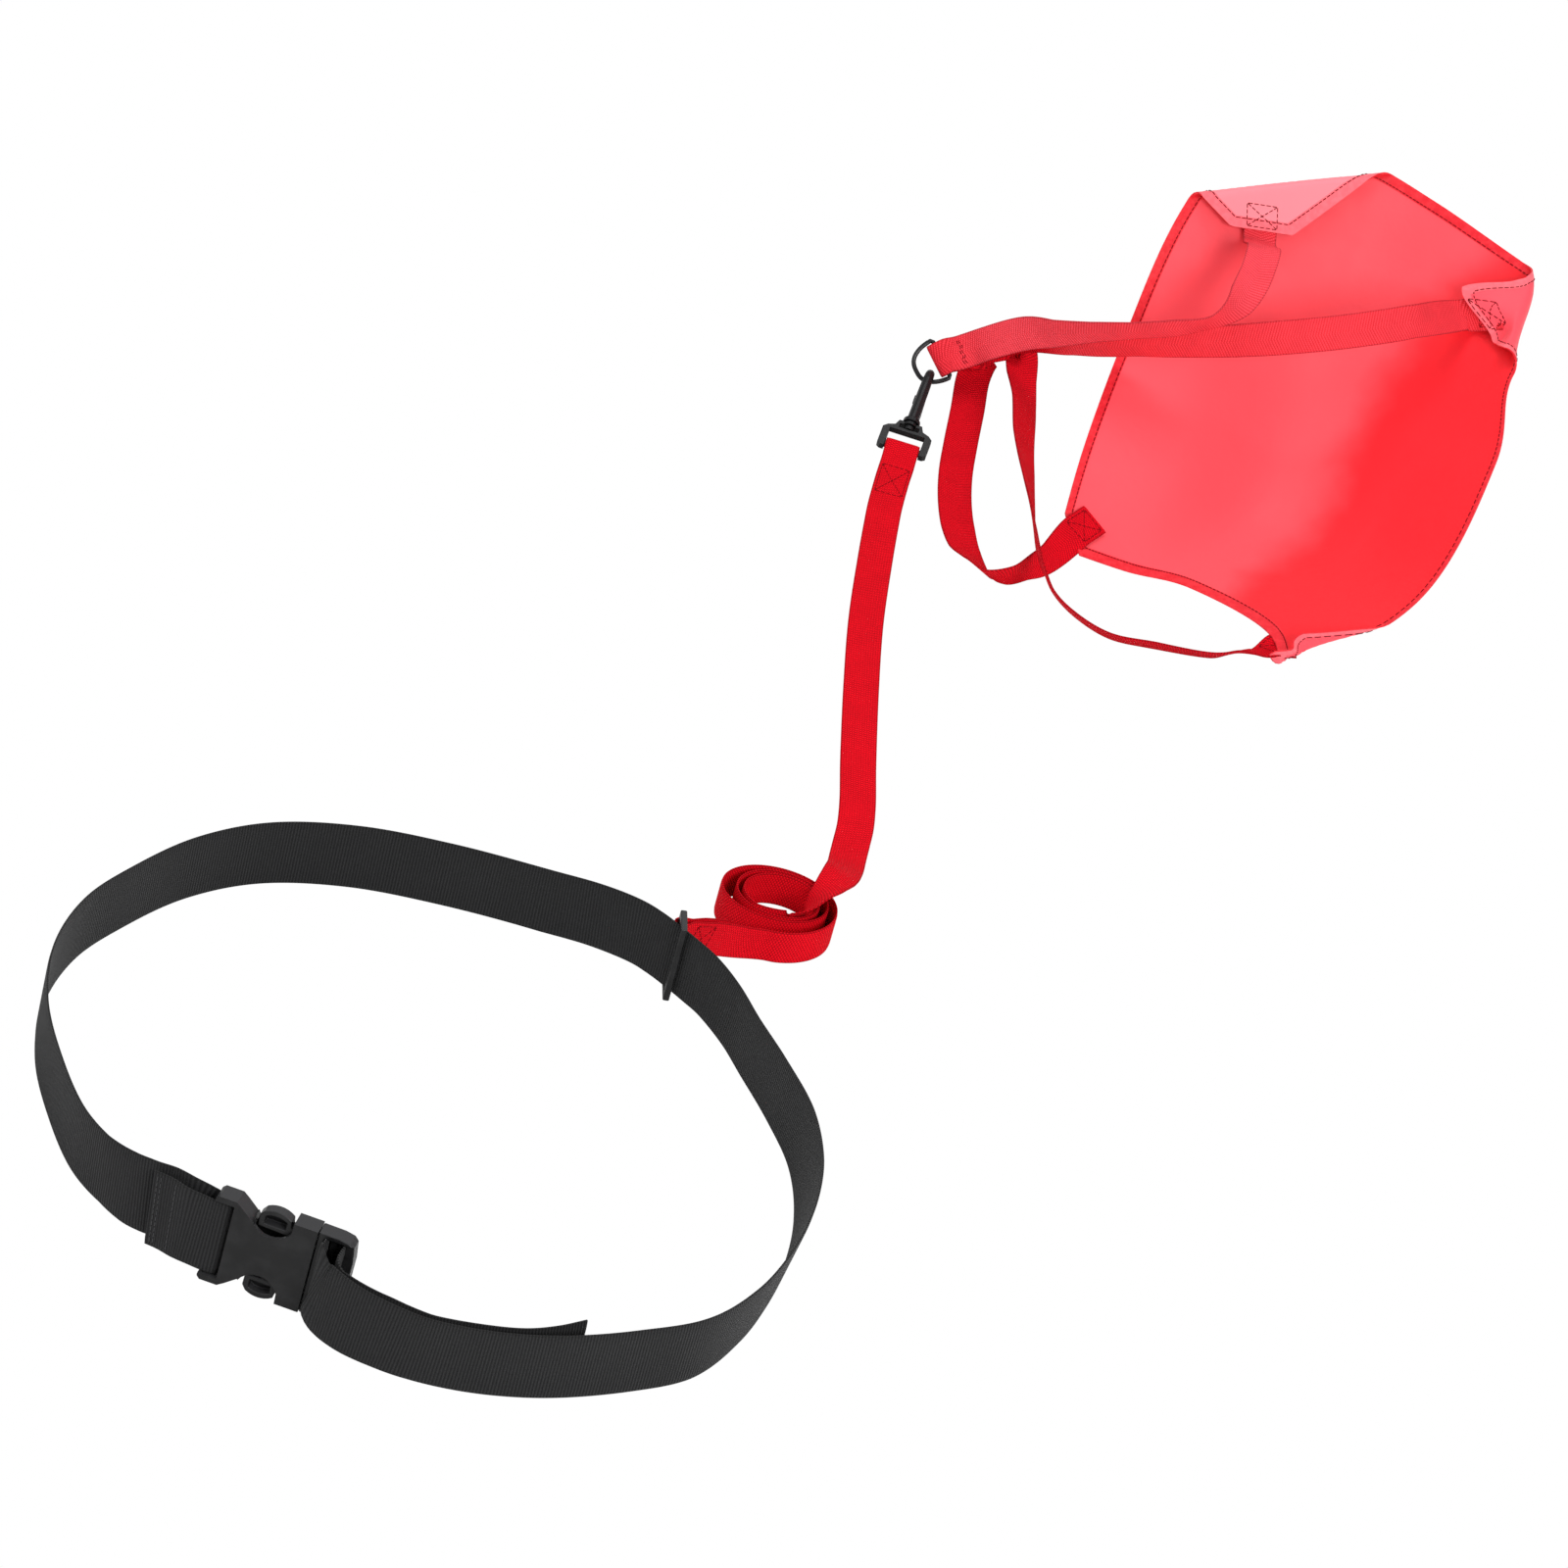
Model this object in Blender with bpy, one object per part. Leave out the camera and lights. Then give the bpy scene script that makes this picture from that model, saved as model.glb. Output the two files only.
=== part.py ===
import math

import bmesh
import bpy
from mathutils import Matrix, Vector

# Driving dimensions, in millimetres
MM = 0.001
BELT_WIDTH = 50.0
BELT_THICK = 2.0
STRAP_WIDTH = 25.0
STRAP_THICK = 1.6
FIT_GAP = 0.35
LAYER_GAP = 0.5

BUCKLE_LENGTH = 64.0
BUCKLE_HALF_HEIGHT = 30.0
BUCKLE_HALF_THICK = 7.0
BUCKLE_REST_HEIGHT = 31.2
BUCKLE_LEAN = 8.0
BUCKLE_TURN = -6.0
CAVITY_HALF_HEIGHT = 24.5
CAVITY_HALF_THICK = 4.2
SLOT_HALF = BELT_WIDTH / 2 + 1.2
SOCKET_BAR = (2.0, 8.0)
SOCKET_BAR_HALF = 2.2
SLOT_END = 12.0
PLUG_START = BUCKLE_LENGTH + FIT_GAP
PLUG_END = BUCKLE_LENGTH + 24.0
PLUG_HALF_THICK = 6.0
PLUG_BAR = (BUCKLE_LENGTH + 7.6, BUCKLE_LENGTH + 11.6)
PLUG_BAR_HALF = 1.7

RING_BAR = 4.2
RING_DEPTH = 20.5
RING_WINDOW = BELT_WIDTH + 1.2
RING_HEIGHT = RING_WINDOW + 2 * RING_BAR
RING_PLACE = (119.0, 173.0)
RING_ACROSS = (-0.19, 0.98)

HOOK_BAR = (174.0, 846.0, 5.0)
HOOK_NOSE = (180.0, 925.3, 28.3)
EYE_REACH = 14.1
EYE_HALF = 18.5
EYE_BAR_RADIUS = 2.0
BOWL_CENTRE = (72.0, -8.2)
BOWL_RADIUS = 8.5
GATE_PIVOT = (41.5, -7.5)
GATE_END = (64.1, -12.9)

WIRE = 1.75
DEE_HALF = 15.2
DEE_DEPTH = 20.5
DEE_CONTACT = math.radians(52.6)

CANOPY_SIDE = 340.0
CANOPY_THICK = 1.2
CORNER_CUT = 28.0
COIL_TURNS = 2.95
COIL_STEPS = 24


def clear_scene():
    for old in list(bpy.data.objects):
        bpy.data.objects.remove(old, do_unlink=True)


def paint(name, colour, roughness, metallic=0.0):
    material = bpy.data.materials.new(name)
    material.use_nodes = True
    shader = material.node_tree.nodes["Principled BSDF"]
    shader.inputs["Base Color"].default_value = (*colour, 1.0)
    shader.inputs["Roughness"].default_value = roughness
    shader.inputs["Metallic"].default_value = metallic
    return material


def add_object(name, points, faces, material, origin=(0.0, 0.0, 0.0)):
    """Points in layout millimetres; the object's origin goes to its joint."""
    start = Vector(origin)
    mesh = bpy.data.meshes.new(name)
    mesh.from_pydata([(Vector(p) - start) * MM for p in points], [], faces)
    work = bmesh.new()
    work.from_mesh(mesh)
    bmesh.ops.recalc_face_normals(work, faces=work.faces)
    work.to_mesh(mesh)
    work.free()
    mesh.materials.append(material)
    thing = bpy.data.objects.new(name, mesh)
    thing.location = start * MM
    bpy.context.scene.collection.objects.link(thing)
    return thing


def finish_edges(thing, degrees=35):
    mesh = thing.data
    for face in mesh.polygons:
        face.use_smooth = True
    work = bmesh.new()
    work.from_mesh(mesh)
    for edge in work.edges:
        sharp = len(edge.link_faces) != 2 or edge.calc_face_angle() > math.radians(degrees)
        edge.smooth = not sharp
    work.to_mesh(mesh)
    work.free()


# Smooth routes through hand-chosen points

def spline(points, index, part):
    """Centripetal curve through the points, between point index and the next."""
    last = len(points) - 1
    p1 = points[index]
    p2 = points[index + 1]
    p0 = points[index - 1] if index > 0 else 2 * p1 - p2
    p3 = points[index + 2] if index + 2 <= last else 2 * p2 - p1
    knots = [0.0]
    for a, b in ((p0, p1), (p1, p2), (p2, p3)):
        knots.append(knots[-1] + max((b - a).length, 1e-6) ** 0.5)
    t = knots[1] + (knots[2] - knots[1]) * part
    row = [p0, p1, p2, p3]
    for level in (1, 2, 3):
        blended = []
        for i in range(len(row) - 1):
            low = knots[max(i, 0)] if level == 1 else knots[i]
            high = knots[i + level]
            if level == 2:
                low = knots[i]
                high = knots[i + 2]
            if level == 3:
                low = knots[1]
                high = knots[2]
            share = (t - low) / (high - low)
            blended.append(row[i] * (1 - share) + row[i + 1] * share)
        row = blended
    return row[0]


def route(rows, longest=16.0, turn=16.0):
    """Rows are (x, y, z, width direction). Gives stations of (centre, along, across)."""
    centres = [Vector(row[0]) for row in rows]
    sides = [Vector(row[1]).normalized() for row in rows]
    fine = []
    for index in range(len(rows) - 1):
        for step in range(8):
            part = step / 8
            side = sides[index].lerp(sides[index + 1], part)
            fine.append((spline(centres, index, part), side))
    fine.append((centres[-1], sides[-1]))
    picked = [0]
    travelled = 0.0
    turned = 0.0
    for i in range(1, len(fine) - 1):
        before = fine[i][0] - fine[i - 1][0]
        after = fine[i + 1][0] - fine[i][0]
        travelled += before.length
        turned += math.degrees(before.angle(after, 0.0))
        turned += math.degrees(fine[i][1].angle(fine[i - 1][1], 0.0))
        if travelled >= longest or turned >= turn:
            picked.append(i)
            travelled = 0.0
            turned = 0.0
    picked.append(len(fine) - 1)
    stations = []
    for i in picked:
        ahead = fine[min(i + 1, len(fine) - 1)][0]
        behind = fine[max(i - 1, 0)][0]
        along = (ahead - behind).normalized()
        side = fine[i][1]
        across = (side - along * side.dot(along)).normalized()
        stations.append((fine[i][0], along, across))
    return stations


def ribbon(name, stations, width, thick, material, origin=(0.0, 0.0, 0.0)):
    """A webbing of constant section. Nothing reaches under the floor at z = 0."""
    points = []
    for centre, along, across in stations:
        face = along.cross(across)
        for w, f in ((-1, -1), (1, -1), (1, 1), (-1, 1)):
            point = centre + across * (w * width / 2) + face * (f * thick / 2)
            point.z = max(point.z, 0.0)
            points.append(point)
    faces = [(0, 1, 2, 3)]
    for i in range(len(stations) - 1):
        for k in range(4):
            a = 4 * i + k
            b = 4 * i + (k + 1) % 4
            faces.append((a, b, b + 4, a + 4))
    end = 4 * (len(stations) - 1)
    faces.append((end + 3, end + 2, end + 1, end))
    return add_object(name, points, faces, material, origin)


# Solid shapes for the hard pieces

def slab(outline, low, high):
    """A flat outline of (x, z) pairs made solid from y = low to y = high."""
    count = len(outline)
    points = [(x, low, z) for x, z in outline] + [(x, high, z) for x, z in outline]
    faces = [tuple(range(count)), tuple(reversed(range(count, 2 * count)))]
    for i in range(count):
        j = (i + 1) % count
        faces.append((i, j, count + j, count + i))
    return points, faces


def block(low, high):
    outline = [(low[0], low[2]), (high[0], low[2]), (high[0], high[2]), (low[0], high[2])]
    return slab(outline, low[1], high[1])


def rod(start, end, radius, sides=16):
    start = Vector(start)
    end = Vector(end)
    return tube([start, end], [radius, radius], sides)


def tube(path, radii, sides=12, flat=1.0):
    """A round bar along the path; flat squeezes the section in the path's own plane."""
    points = []
    count = len(path)
    spare = Vector((0.0, 0.0, 1.0))
    for i, centre in enumerate(path):
        along = (path[min(i + 1, count - 1)] - path[max(i - 1, 0)]).normalized()
        side = Vector((0.0, 1.0, 0.0))
        if abs(along.dot(side)) > 0.9:
            side = spare
        side = (side - along * along.dot(side)).normalized()
        up = along.cross(side)
        for k in range(sides):
            angle = 2 * math.pi * k / sides
            offset = side * math.cos(angle) * radii[i] + up * math.sin(angle) * radii[i] * flat
            points.append(centre + offset)
    faces = [tuple(range(sides))]
    for i in range(count - 1):
        for k in range(sides):
            a = i * sides + k
            b = i * sides + (k + 1) % sides
            faces.append((a, b, b + sides, a + sides))
    end = (count - 1) * sides
    faces.append(tuple(reversed(range(end, end + sides))))
    return points, faces


def build(name, base, operations, place, material, bevel=0.0, origin=(0.0, 0.0, 0.0)):
    """Joins and cuts simple solids made in local millimetres, then puts them in place."""
    thing = add_object(name, base[0], base[1], material)
    for index, (kind, shape) in enumerate(operations):
        tool = add_object(f"{name}_tool_{index}", shape[0], shape[1], material)
        modifier = thing.modifiers.new(f"{kind}_{index}", "BOOLEAN")
        modifier.operation = kind
        modifier.solver = "EXACT"
        modifier.object = tool
    bpy.context.view_layer.update()
    graph = bpy.context.evaluated_depsgraph_get()
    mesh = bpy.data.meshes.new_from_object(thing.evaluated_get(graph))
    for index in range(len(operations)):
        bpy.data.objects.remove(bpy.data.objects[f"{name}_tool_{index}"], do_unlink=True)
    thing.modifiers.clear()
    thing.data = mesh
    if bevel:
        work = bmesh.new()
        work.from_mesh(mesh)
        bmesh.ops.remove_doubles(work, verts=work.verts, dist=1e-6)
        bmesh.ops.dissolve_limit(work, angle_limit=0.02, verts=work.verts, edges=work.edges)
        sharp = [e for e in work.edges if e.is_manifold and e.calc_face_angle() > math.radians(50)]
        bmesh.ops.bevel(work, geom=sharp, offset=bevel * MM, segments=1, affect="EDGES",
                        clamp_overlap=True)
        work.to_mesh(mesh)
        work.free()
    start = Vector(origin)
    shift = Matrix.Translation(-start * MM)
    scale = Matrix.Scale(MM, 4)
    mesh.transform(shift @ scale @ place @ scale.inverted())
    thing.location = start * MM
    return thing


# Frames of the hard pieces

def buckle_frame():
    turn = math.radians(BUCKLE_TURN)
    along = Vector((math.cos(turn), math.sin(turn), 0.0))
    inward = Vector((-math.sin(turn), math.cos(turn), 0.0))
    lean = math.radians(BUCKLE_LEAN)
    up = inward * math.sin(lean) + Vector((0.0, 0.0, math.cos(lean)))
    back = up.cross(along)
    place = Matrix.Identity(4)
    for i, column in enumerate((along, back, up)):
        for row in range(3):
            place[row][i] = column[row]
    place.translation = Vector((-99.5, -200.5, BUCKLE_REST_HEIGHT))
    return place


def hook_frame():
    start = Vector(HOOK_BAR)
    along = (Vector(HOOK_NOSE) - start).normalized()
    side = along.cross(Vector((0.0, 0.0, 1.0))).normalized()
    up = side.cross(along)
    place = Matrix.Identity(4)
    for i, column in enumerate((along, -side, up)):
        for row in range(3):
            place[row][i] = column[row]
    place.translation = start
    return place


def ring_frame():
    across = Vector((*RING_ACROSS, 0.0)).normalized()
    up = Vector((0.0, 0.0, 1.0))
    place = Matrix.Identity(4)
    for i, column in enumerate((across, up.cross(across), up)):
        for row in range(3):
            place[row][i] = column[row]
    place.translation = Vector((*RING_PLACE, RING_HEIGHT / 2))
    return place


def dee_point(angle):
    """Point of the ring's wire in its own plane, with the straight bar along X."""
    x = DEE_HALF * math.copysign(abs(math.cos(angle)) ** 0.75, math.cos(angle))
    return Vector((x, 0.0, DEE_DEPTH * math.sin(angle)))


def dee_frame(hook):
    """The ring lies square to the line of sight, its straight bar at a slant."""
    bar = Vector((0.670, -0.441, -0.597)).normalized()
    bow = Vector((-0.742, -0.399, -0.539))
    bow = (bow - bar * bow.dot(bar)).normalized()
    rest = BOWL_RADIUS - 3.3 - WIRE - FIT_GAP
    touch = hook @ Vector((BOWL_CENTRE[0] + rest * 0.6, 0.0, BOWL_CENTRE[1] + rest * 0.7))
    reach = bar * dee_point(DEE_CONTACT).x + bow * dee_point(DEE_CONTACT).z
    place = Matrix.Identity(4)
    for i, column in enumerate((bar, bar.cross(bow), bow)):
        for row in range(3):
            place[row][i] = -column[row] if i == 1 else column[row]
    place.translation = touch - reach
    return place, touch


# Belt and buckle

def belt_rows(buckle):
    lean = buckle.to_3x3() @ Vector((0.0, 0.0, 1.0))
    bar = SOCKET_BAR[1] - SOCKET_BAR_HALF
    wrap = SOCKET_BAR_HALF * 1.42 + FIT_GAP + BELT_THICK / 2
    end = buckle @ Vector((PLUG_END, 0.0, 0.0))
    rows = []

    def local(u, n):
        rows.append((buckle @ Vector((u, n, 0.0)), lean))

    def world(x, y, z, tilt=(0.0, 0.0)):
        rows.append(((x, y, z), (tilt[0], tilt[1], 1.0)))

    def from_plug(x, y, z, tilt):
        world(end.x + x, end.y + y, z, tilt)

    world(-141.0, -184.8, 29.6, (0.02, 0.20))
    world(-129.0, -191.2, 30.6, (0.02, 0.20))
    local(-16.0, -2.8)
    local(-8.0, -3.7)
    local(1.0, -wrap)
    for step in range(5):
        angle = math.radians(-90 + 45 * step)
        local(bar + wrap * math.cos(angle), wrap * math.sin(angle))
    local(1.0, wrap)
    local(-8.0, 1.9)
    local(-16.0, 0.2)
    world(-128.0, -188.7, 30.6, (0.02, 0.20))
    world(-140.0, -182.4, 29.6, (0.02, 0.20))
    world(-153.0, -174.8, 28.4, (0.01, 0.14))
    for x, y, z in ((-169, -164, 27), (-190, -144, 25.3), (-216, -106, 25), (-238, -56, 25),
                    (-248, -4, 25), (-241, 46, 25), (-221, 88, 25), (-190, 134, 25), (-150, 168, 25),
                    (-96, 189, 25), (-35, 197, 25), (30, 198, 25), (64, 195, 27)):
        world(x, y, z)
    for x, y in ((92, 186.2), (106, 179.5), (118.5, 171.5), (131, 162.5), (144, 152.4)):
        world(x, y, RING_HEIGHT / 2)
    world(163, 134, 27)
    world(181, 109, 25)
    world(204, 75, 25, (0.04, 0.0))
    world(226, 36, 25, (0.10, 0.0))
    world(238, -8, 25, (0.15, 0.0))
    world(240, -50, 25, (0.16, 0.0))
    world(235, -92, 25, (0.14, 0.0))
    world(222, -137, 25, (0.10, -0.03))
    world(199, -177, 25, (0.04, 0.0))
    world(163, -204, 25)
    world(118, -228, 25)
    world(76, -241, 25.2)
    world(38, -246.5, 27)
    from_plug(26.0, -36.3, 29.5, (0.0, 0.05))
    from_plug(7.0, -32.3, 30.8, (0.01, 0.10))
    from_plug(-6.0, -25.8, 31.2, (0.015, 0.14))
    from_plug(-15.0, -18.3, 31.2, (0.015, 0.14))
    local(PLUG_BAR[0] - 1.7, -13.5)
    local(PLUG_BAR[0] - 3.1, -9.7)
    local(PLUG_BAR[0] - 2.0, -6.3)
    local(PLUG_BAR[0] - 1.4, -3.0)
    centre = (PLUG_BAR[0] + PLUG_BAR[1]) / 2
    wrap = (PLUG_BAR[1] - PLUG_BAR[0]) * 0.62 + FIT_GAP + BELT_THICK / 2
    for step in range(5):
        angle = math.radians(180 - 45 * step)
        local(centre + wrap * math.cos(angle), wrap * math.sin(angle))
    local(PLUG_BAR[1] + 1.8, -3.2)
    local(PLUG_BAR[1] + 4.0, -6.2)
    local(PLUG_BAR[1] + 7.9, -7.4)
    local(PLUG_BAR[1] + 12.9, -9.6)
    from_plug(6.5, -16.3, 31.0, (0.01, 0.12))
    from_plug(16.0, -23.8, 30.4, (0.01, 0.08))
    from_plug(32.0, -29.9, 29.0, (0.0, 0.04))
    world(42, -241.2, 26.6)
    world(76, -236.2, 25.2)
    world(98, -229.6, 25)
    world(115, -220, 25)
    world(130, -208.5, 25.3)
    return rows


def make_belt(buckle, black):
    stations = route(belt_rows(buckle), longest=20.0)
    return ribbon("belt_webbing", stations, BELT_WIDTH, BELT_THICK, black)


def mirrored(outline):
    return outline + [(x, -z) for x, z in reversed(outline)]


def arc_points(centre, radius, first, last, steps):
    found = []
    for step in range(steps + 1):
        angle = math.radians(first + (last - first) * step / steps)
        found.append((centre[0] + radius * math.cos(angle), centre[1] + radius * math.sin(angle)))
    return found


def make_buckle(buckle, plastic):
    high = BUCKLE_HALF_HEIGHT
    thick = BUCKLE_HALF_THICK
    top = [(0.0, high - 2), (2.0, high), (13.0, high), (17.0, high - 3), (24.0, 21.0)]
    top += arc_points((36.5, 27.0), 13.2, 204, 338, 10)
    top += [(BUCKLE_LENGTH - 15, 29.0), (BUCKLE_LENGTH, 29.0)]
    body = slab(mirrored(top), -thick, thick)
    bar_low = (SOCKET_BAR[0], -SOCKET_BAR_HALF, -high + 1.5)
    bar_high = (SOCKET_BAR[1], SOCKET_BAR_HALF, high - 1.5)
    mouth = block((26.0, -CAVITY_HALF_THICK, -CAVITY_HALF_HEIGHT),
                  (BUCKLE_LENGTH + 5, CAVITY_HALF_THICK, CAVITY_HALF_HEIGHT))
    sides = block((26.0, -CAVITY_HALF_THICK, -40.0), (48.0, CAVITY_HALF_THICK, 40.0))
    slot = block((-5.0, -20.0, -SLOT_HALF), (SLOT_END, 20.0, SLOT_HALF))
    socket = build("buckle_socket", body,
                   [("DIFFERENCE", mouth), ("DIFFERENCE", sides), ("DIFFERENCE", slot),
                    ("UNION", block(bar_low, bar_high))], buckle, plastic, 0.5)

    half = PLUG_HALF_THICK
    slide_origin = buckle @ Vector((PLUG_START, 0.0, 0.0))
    side = [(PLUG_START, 29.0), (PLUG_END - 10, 28.8), (PLUG_END - 4, 27.6), (PLUG_END - 1.4, 25.0),
            (PLUG_END, 14.0)]
    body = slab(mirrored(side), -half, half)
    slot_half = BELT_WIDTH / 2 + 0.6
    first = block((PLUG_BAR[0] - 3.3, -20.0, -slot_half), (PLUG_BAR[0], 20.0, slot_half))
    second = block((PLUG_BAR[1], -20.0, -slot_half), (PLUG_BAR[1] + 5.9, 20.0, slot_half))
    front = block((PLUG_BAR[0] - 1, -20.0, -slot_half), (PLUG_BAR[1] + 1, -PLUG_BAR_HALF, slot_half))
    back = block((PLUG_BAR[0] - 1, PLUG_BAR_HALF, -slot_half), (PLUG_BAR[1] + 1, 20.0, slot_half))
    low = block((PLUG_BAR[1] + 5.4, -20.0, -slot_half), (PLUG_END + 3, -4.0, slot_half))
    tongue = block((BUCKLE_LENGTH - 24, -3.4, -7.5), (PLUG_START + 2, 3.4, 7.5))
    plug = build("buckle_plug", body,
                 [("DIFFERENCE", first), ("DIFFERENCE", second), ("DIFFERENCE", front),
                  ("DIFFERENCE", back), ("DIFFERENCE", low), ("UNION", tongue)],
                 buckle, plastic, 0.5, slide_origin)

    pads = []
    for name, sign in (("buckle_prong_upper", 1), ("buckle_prong_lower", -1)):
        root = buckle @ Vector((PLUG_START - FIT_GAP, 0.0, 14.5 * sign))
        outline = [(PLUG_START - FIT_GAP, 14.5), (PLUG_START - FIT_GAP, 19.6), (48.6, 22.8),
                   (47.4, 24.0), (46.9, 27.0)]
        outline += arc_points((37.5, 16.0), 15.0, 52, 122, 7)
        outline += [(27.2, 25.4), (27.4, 18.0), (48.0, 17.2)]
        window = [(31.0, 20.4), (44.0, 20.4), (44.2, 24.6)]
        window += arc_points((37.5, 14.4), 13.2, 58, 118, 5) + [(30.8, 24.6)]
        shape = [(x, z * sign) for x, z in outline]
        hole = [(x, z * sign) for x, z in window]
        pads.append(build(name, slab(shape, -3.8, 3.8), [("DIFFERENCE", slab(hole, -9.0, 2.4))],
                          buckle, plastic, 0.4, root))
    return socket, plug, pads


def make_belt_ring(plastic):
    frame = ring_frame()
    outer = RING_DEPTH / 2
    inner = outer - RING_BAR
    tall = RING_HEIGHT / 2
    body = block((-outer, -RING_BAR / 2, -tall), (outer, RING_BAR / 2, tall))
    window = block((-inner, -9.0, -RING_WINDOW / 2), (inner, 9.0, RING_WINDOW / 2))
    return build("belt_ring", body, [("DIFFERENCE", window)], frame, plastic, 0.6,
                 Vector((*RING_PLACE, RING_HEIGHT / 2)))


# Tether

def between(values, t):
    """Smooth value at turn t from values given at whole turns."""
    points = [Vector((v, i, 0.0)) for i, v in enumerate(values)]
    index = min(int(t), len(values) - 2)
    return spline(points, index, t - index).x


def coil_rows():
    rows = []
    for step in range(int(COIL_TURNS * COIL_STEPS) + 1):
        t = step / COIL_STEPS
        angle = 2 * math.pi * t - math.pi / 2
        x = between((171, 172.5, 174, 174), t) + between((43, 35, 27, 23.5), t) * math.cos(angle)
        y = between((265, 270, 270.5, 271), t) + between((34.5, 26.2, 22.6, 19), t) * math.sin(angle)
        rows.append(((x, y, STRAP_WIDTH / 2), (0.0, 0.0, 1.0)))
    return rows


def tether_rows():
    across = Vector((*RING_ACROSS, 0.0)).normalized()
    bar = Vector((*RING_PLACE, 0.0)) + across * (RING_DEPTH / 2 - RING_BAR / 2)
    wrap = RING_BAR * 0.68 + FIT_GAP + STRAP_THICK / 2
    rise = (0.0, 0.0, 1.0)
    rows = []
    for x, y, z in ((142.0, 212.5, 23.5), (131.5, 199.5, 31.5), (122.5, 189.0, 36.5)):
        rows.append(((x, y, z), rise))
    for step in range(5):
        angle = math.radians(125 + 50.5 * step)
        rows.append(((bar.x + wrap * math.cos(angle), bar.y + wrap * math.sin(angle), 39.0), rise))
    for x, y, z in ((125.0, 185.8, 36.5), (134.0, 196.8, 31.0), (145.0, 210.6, 23.0), (158.0, 223.0, 15.5)):
        rows.append(((x, y, z), rise))
    rows += coil_rows()
    rows += [((184.0, 255.6, 14.0), (0.0, 0.0, 1.0)),
             ((188.0, 258.8, 17.0), (-0.27, -0.51, 0.81)),
             ((191.5, 262.2, 20.8), (-0.02, -0.68, 0.72)),
             ((195.0, 266.8, 25.4), (0.49, -0.70, 0.50)),
             ((199.0, 274.0, 29.5), (0.86, -0.48, 0.19)),
             ((203.5, 283.0, 31.2), (1.0, -0.4, 0.05)),
             ((207.0, 294.0, 31.0), (1.0, -0.2, 0.0)),
             ((208.5, 305.0, 28.5), (1.0, -0.05, 0.0))]
    flat = (1.0, -0.05, 0.0)
    low = STRAP_THICK / 2
    for x, y, z in ((209.5, 320, 20), (210, 337, 9), (210.3, 355, 2.5), (210.5, 385, low), (207.8, 422, low),
                    (201.5, 465, low), (190, 553, low), (181.5, 630, low), (176.5, 705, low),
                    (174.2, 750, low), (173.3, 772, low + 0.6), (173.2, 791, low + 2.1),
                    (173.4, 811, low + 2.1), (174, 831, low + 4.6)):
        rows.append(((x, y, z), flat))
    pull = Vector((0.03, 1.0, 0.0))
    wrap = EYE_BAR_RADIUS * 1.55 + FIT_GAP + STRAP_THICK / 2
    for step in range(6):
        angle = math.radians(95 - 38 * step)
        point = Vector(HOOK_BAR) + pull * (wrap * math.cos(angle))
        point.z += wrap * math.sin(angle)
        rows.append((point, flat))
    for x, y, z in ((174.0, 830, low + 0.2), (173.4, 811, low), (173.2, 792, low)):
        rows.append(((x, y, z), flat))
    return rows


def make_tether(red):
    stations = route(tether_rows(), longest=22.0, turn=14.9)
    across = Vector((*RING_ACROSS, 0.0)).normalized()
    bar = Vector((*RING_PLACE, 0.0)) + across * (RING_DEPTH / 2 - RING_BAR / 2)
    thing = ribbon("tether_webbing", stations, STRAP_WIDTH, STRAP_THICK, red, (bar.x, bar.y, 30.0))
    report_gap("tether", stations, STRAP_WIDTH, STRAP_THICK)
    return thing


def report_gap(name, stations, width, thick):
    """Prints the least distance between parts of the webbing that lie over 30 mm apart along it."""
    samples = []
    travelled = 0.0
    for i in range(len(stations) - 1):
        a = stations[i]
        b = stations[i + 1]
        length = (b[0] - a[0]).length
        pieces = max(1, int(length / 3))
        for k in range(pieces):
            f = k / pieces
            centre = a[0].lerp(b[0], f)
            across = a[2].lerp(b[2], f).normalized()
            for w in range(-4, 5):
                samples.append((travelled + length * f, centre + across * (w * width / 8)))
        travelled += length
    cells = {}
    for place, point in samples:
        key = (int(point.x // 8), int(point.y // 8), int(point.z // 8))
        cells.setdefault(key, []).append((place, point))
    least = 1e9
    where = None
    for place, point in samples:
        key = (int(point.x // 8), int(point.y // 8), int(point.z // 8))
        for dx in (-1, 0, 1):
            for dy in (-1, 0, 1):
                for dz in (-1, 0, 1):
                    for other_place, other in cells.get((key[0] + dx, key[1] + dy, key[2] + dz), ()):
                        if other_place - place > 30.0:
                            distance = (other - point).length
                            if distance < least:
                                least = distance
                                where = point
    print(name, "length", round(travelled), "mm, least gap to itself",
          round(least - thick, 2), "mm near", [round(v) for v in where] if where else None)


# Hook

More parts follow.
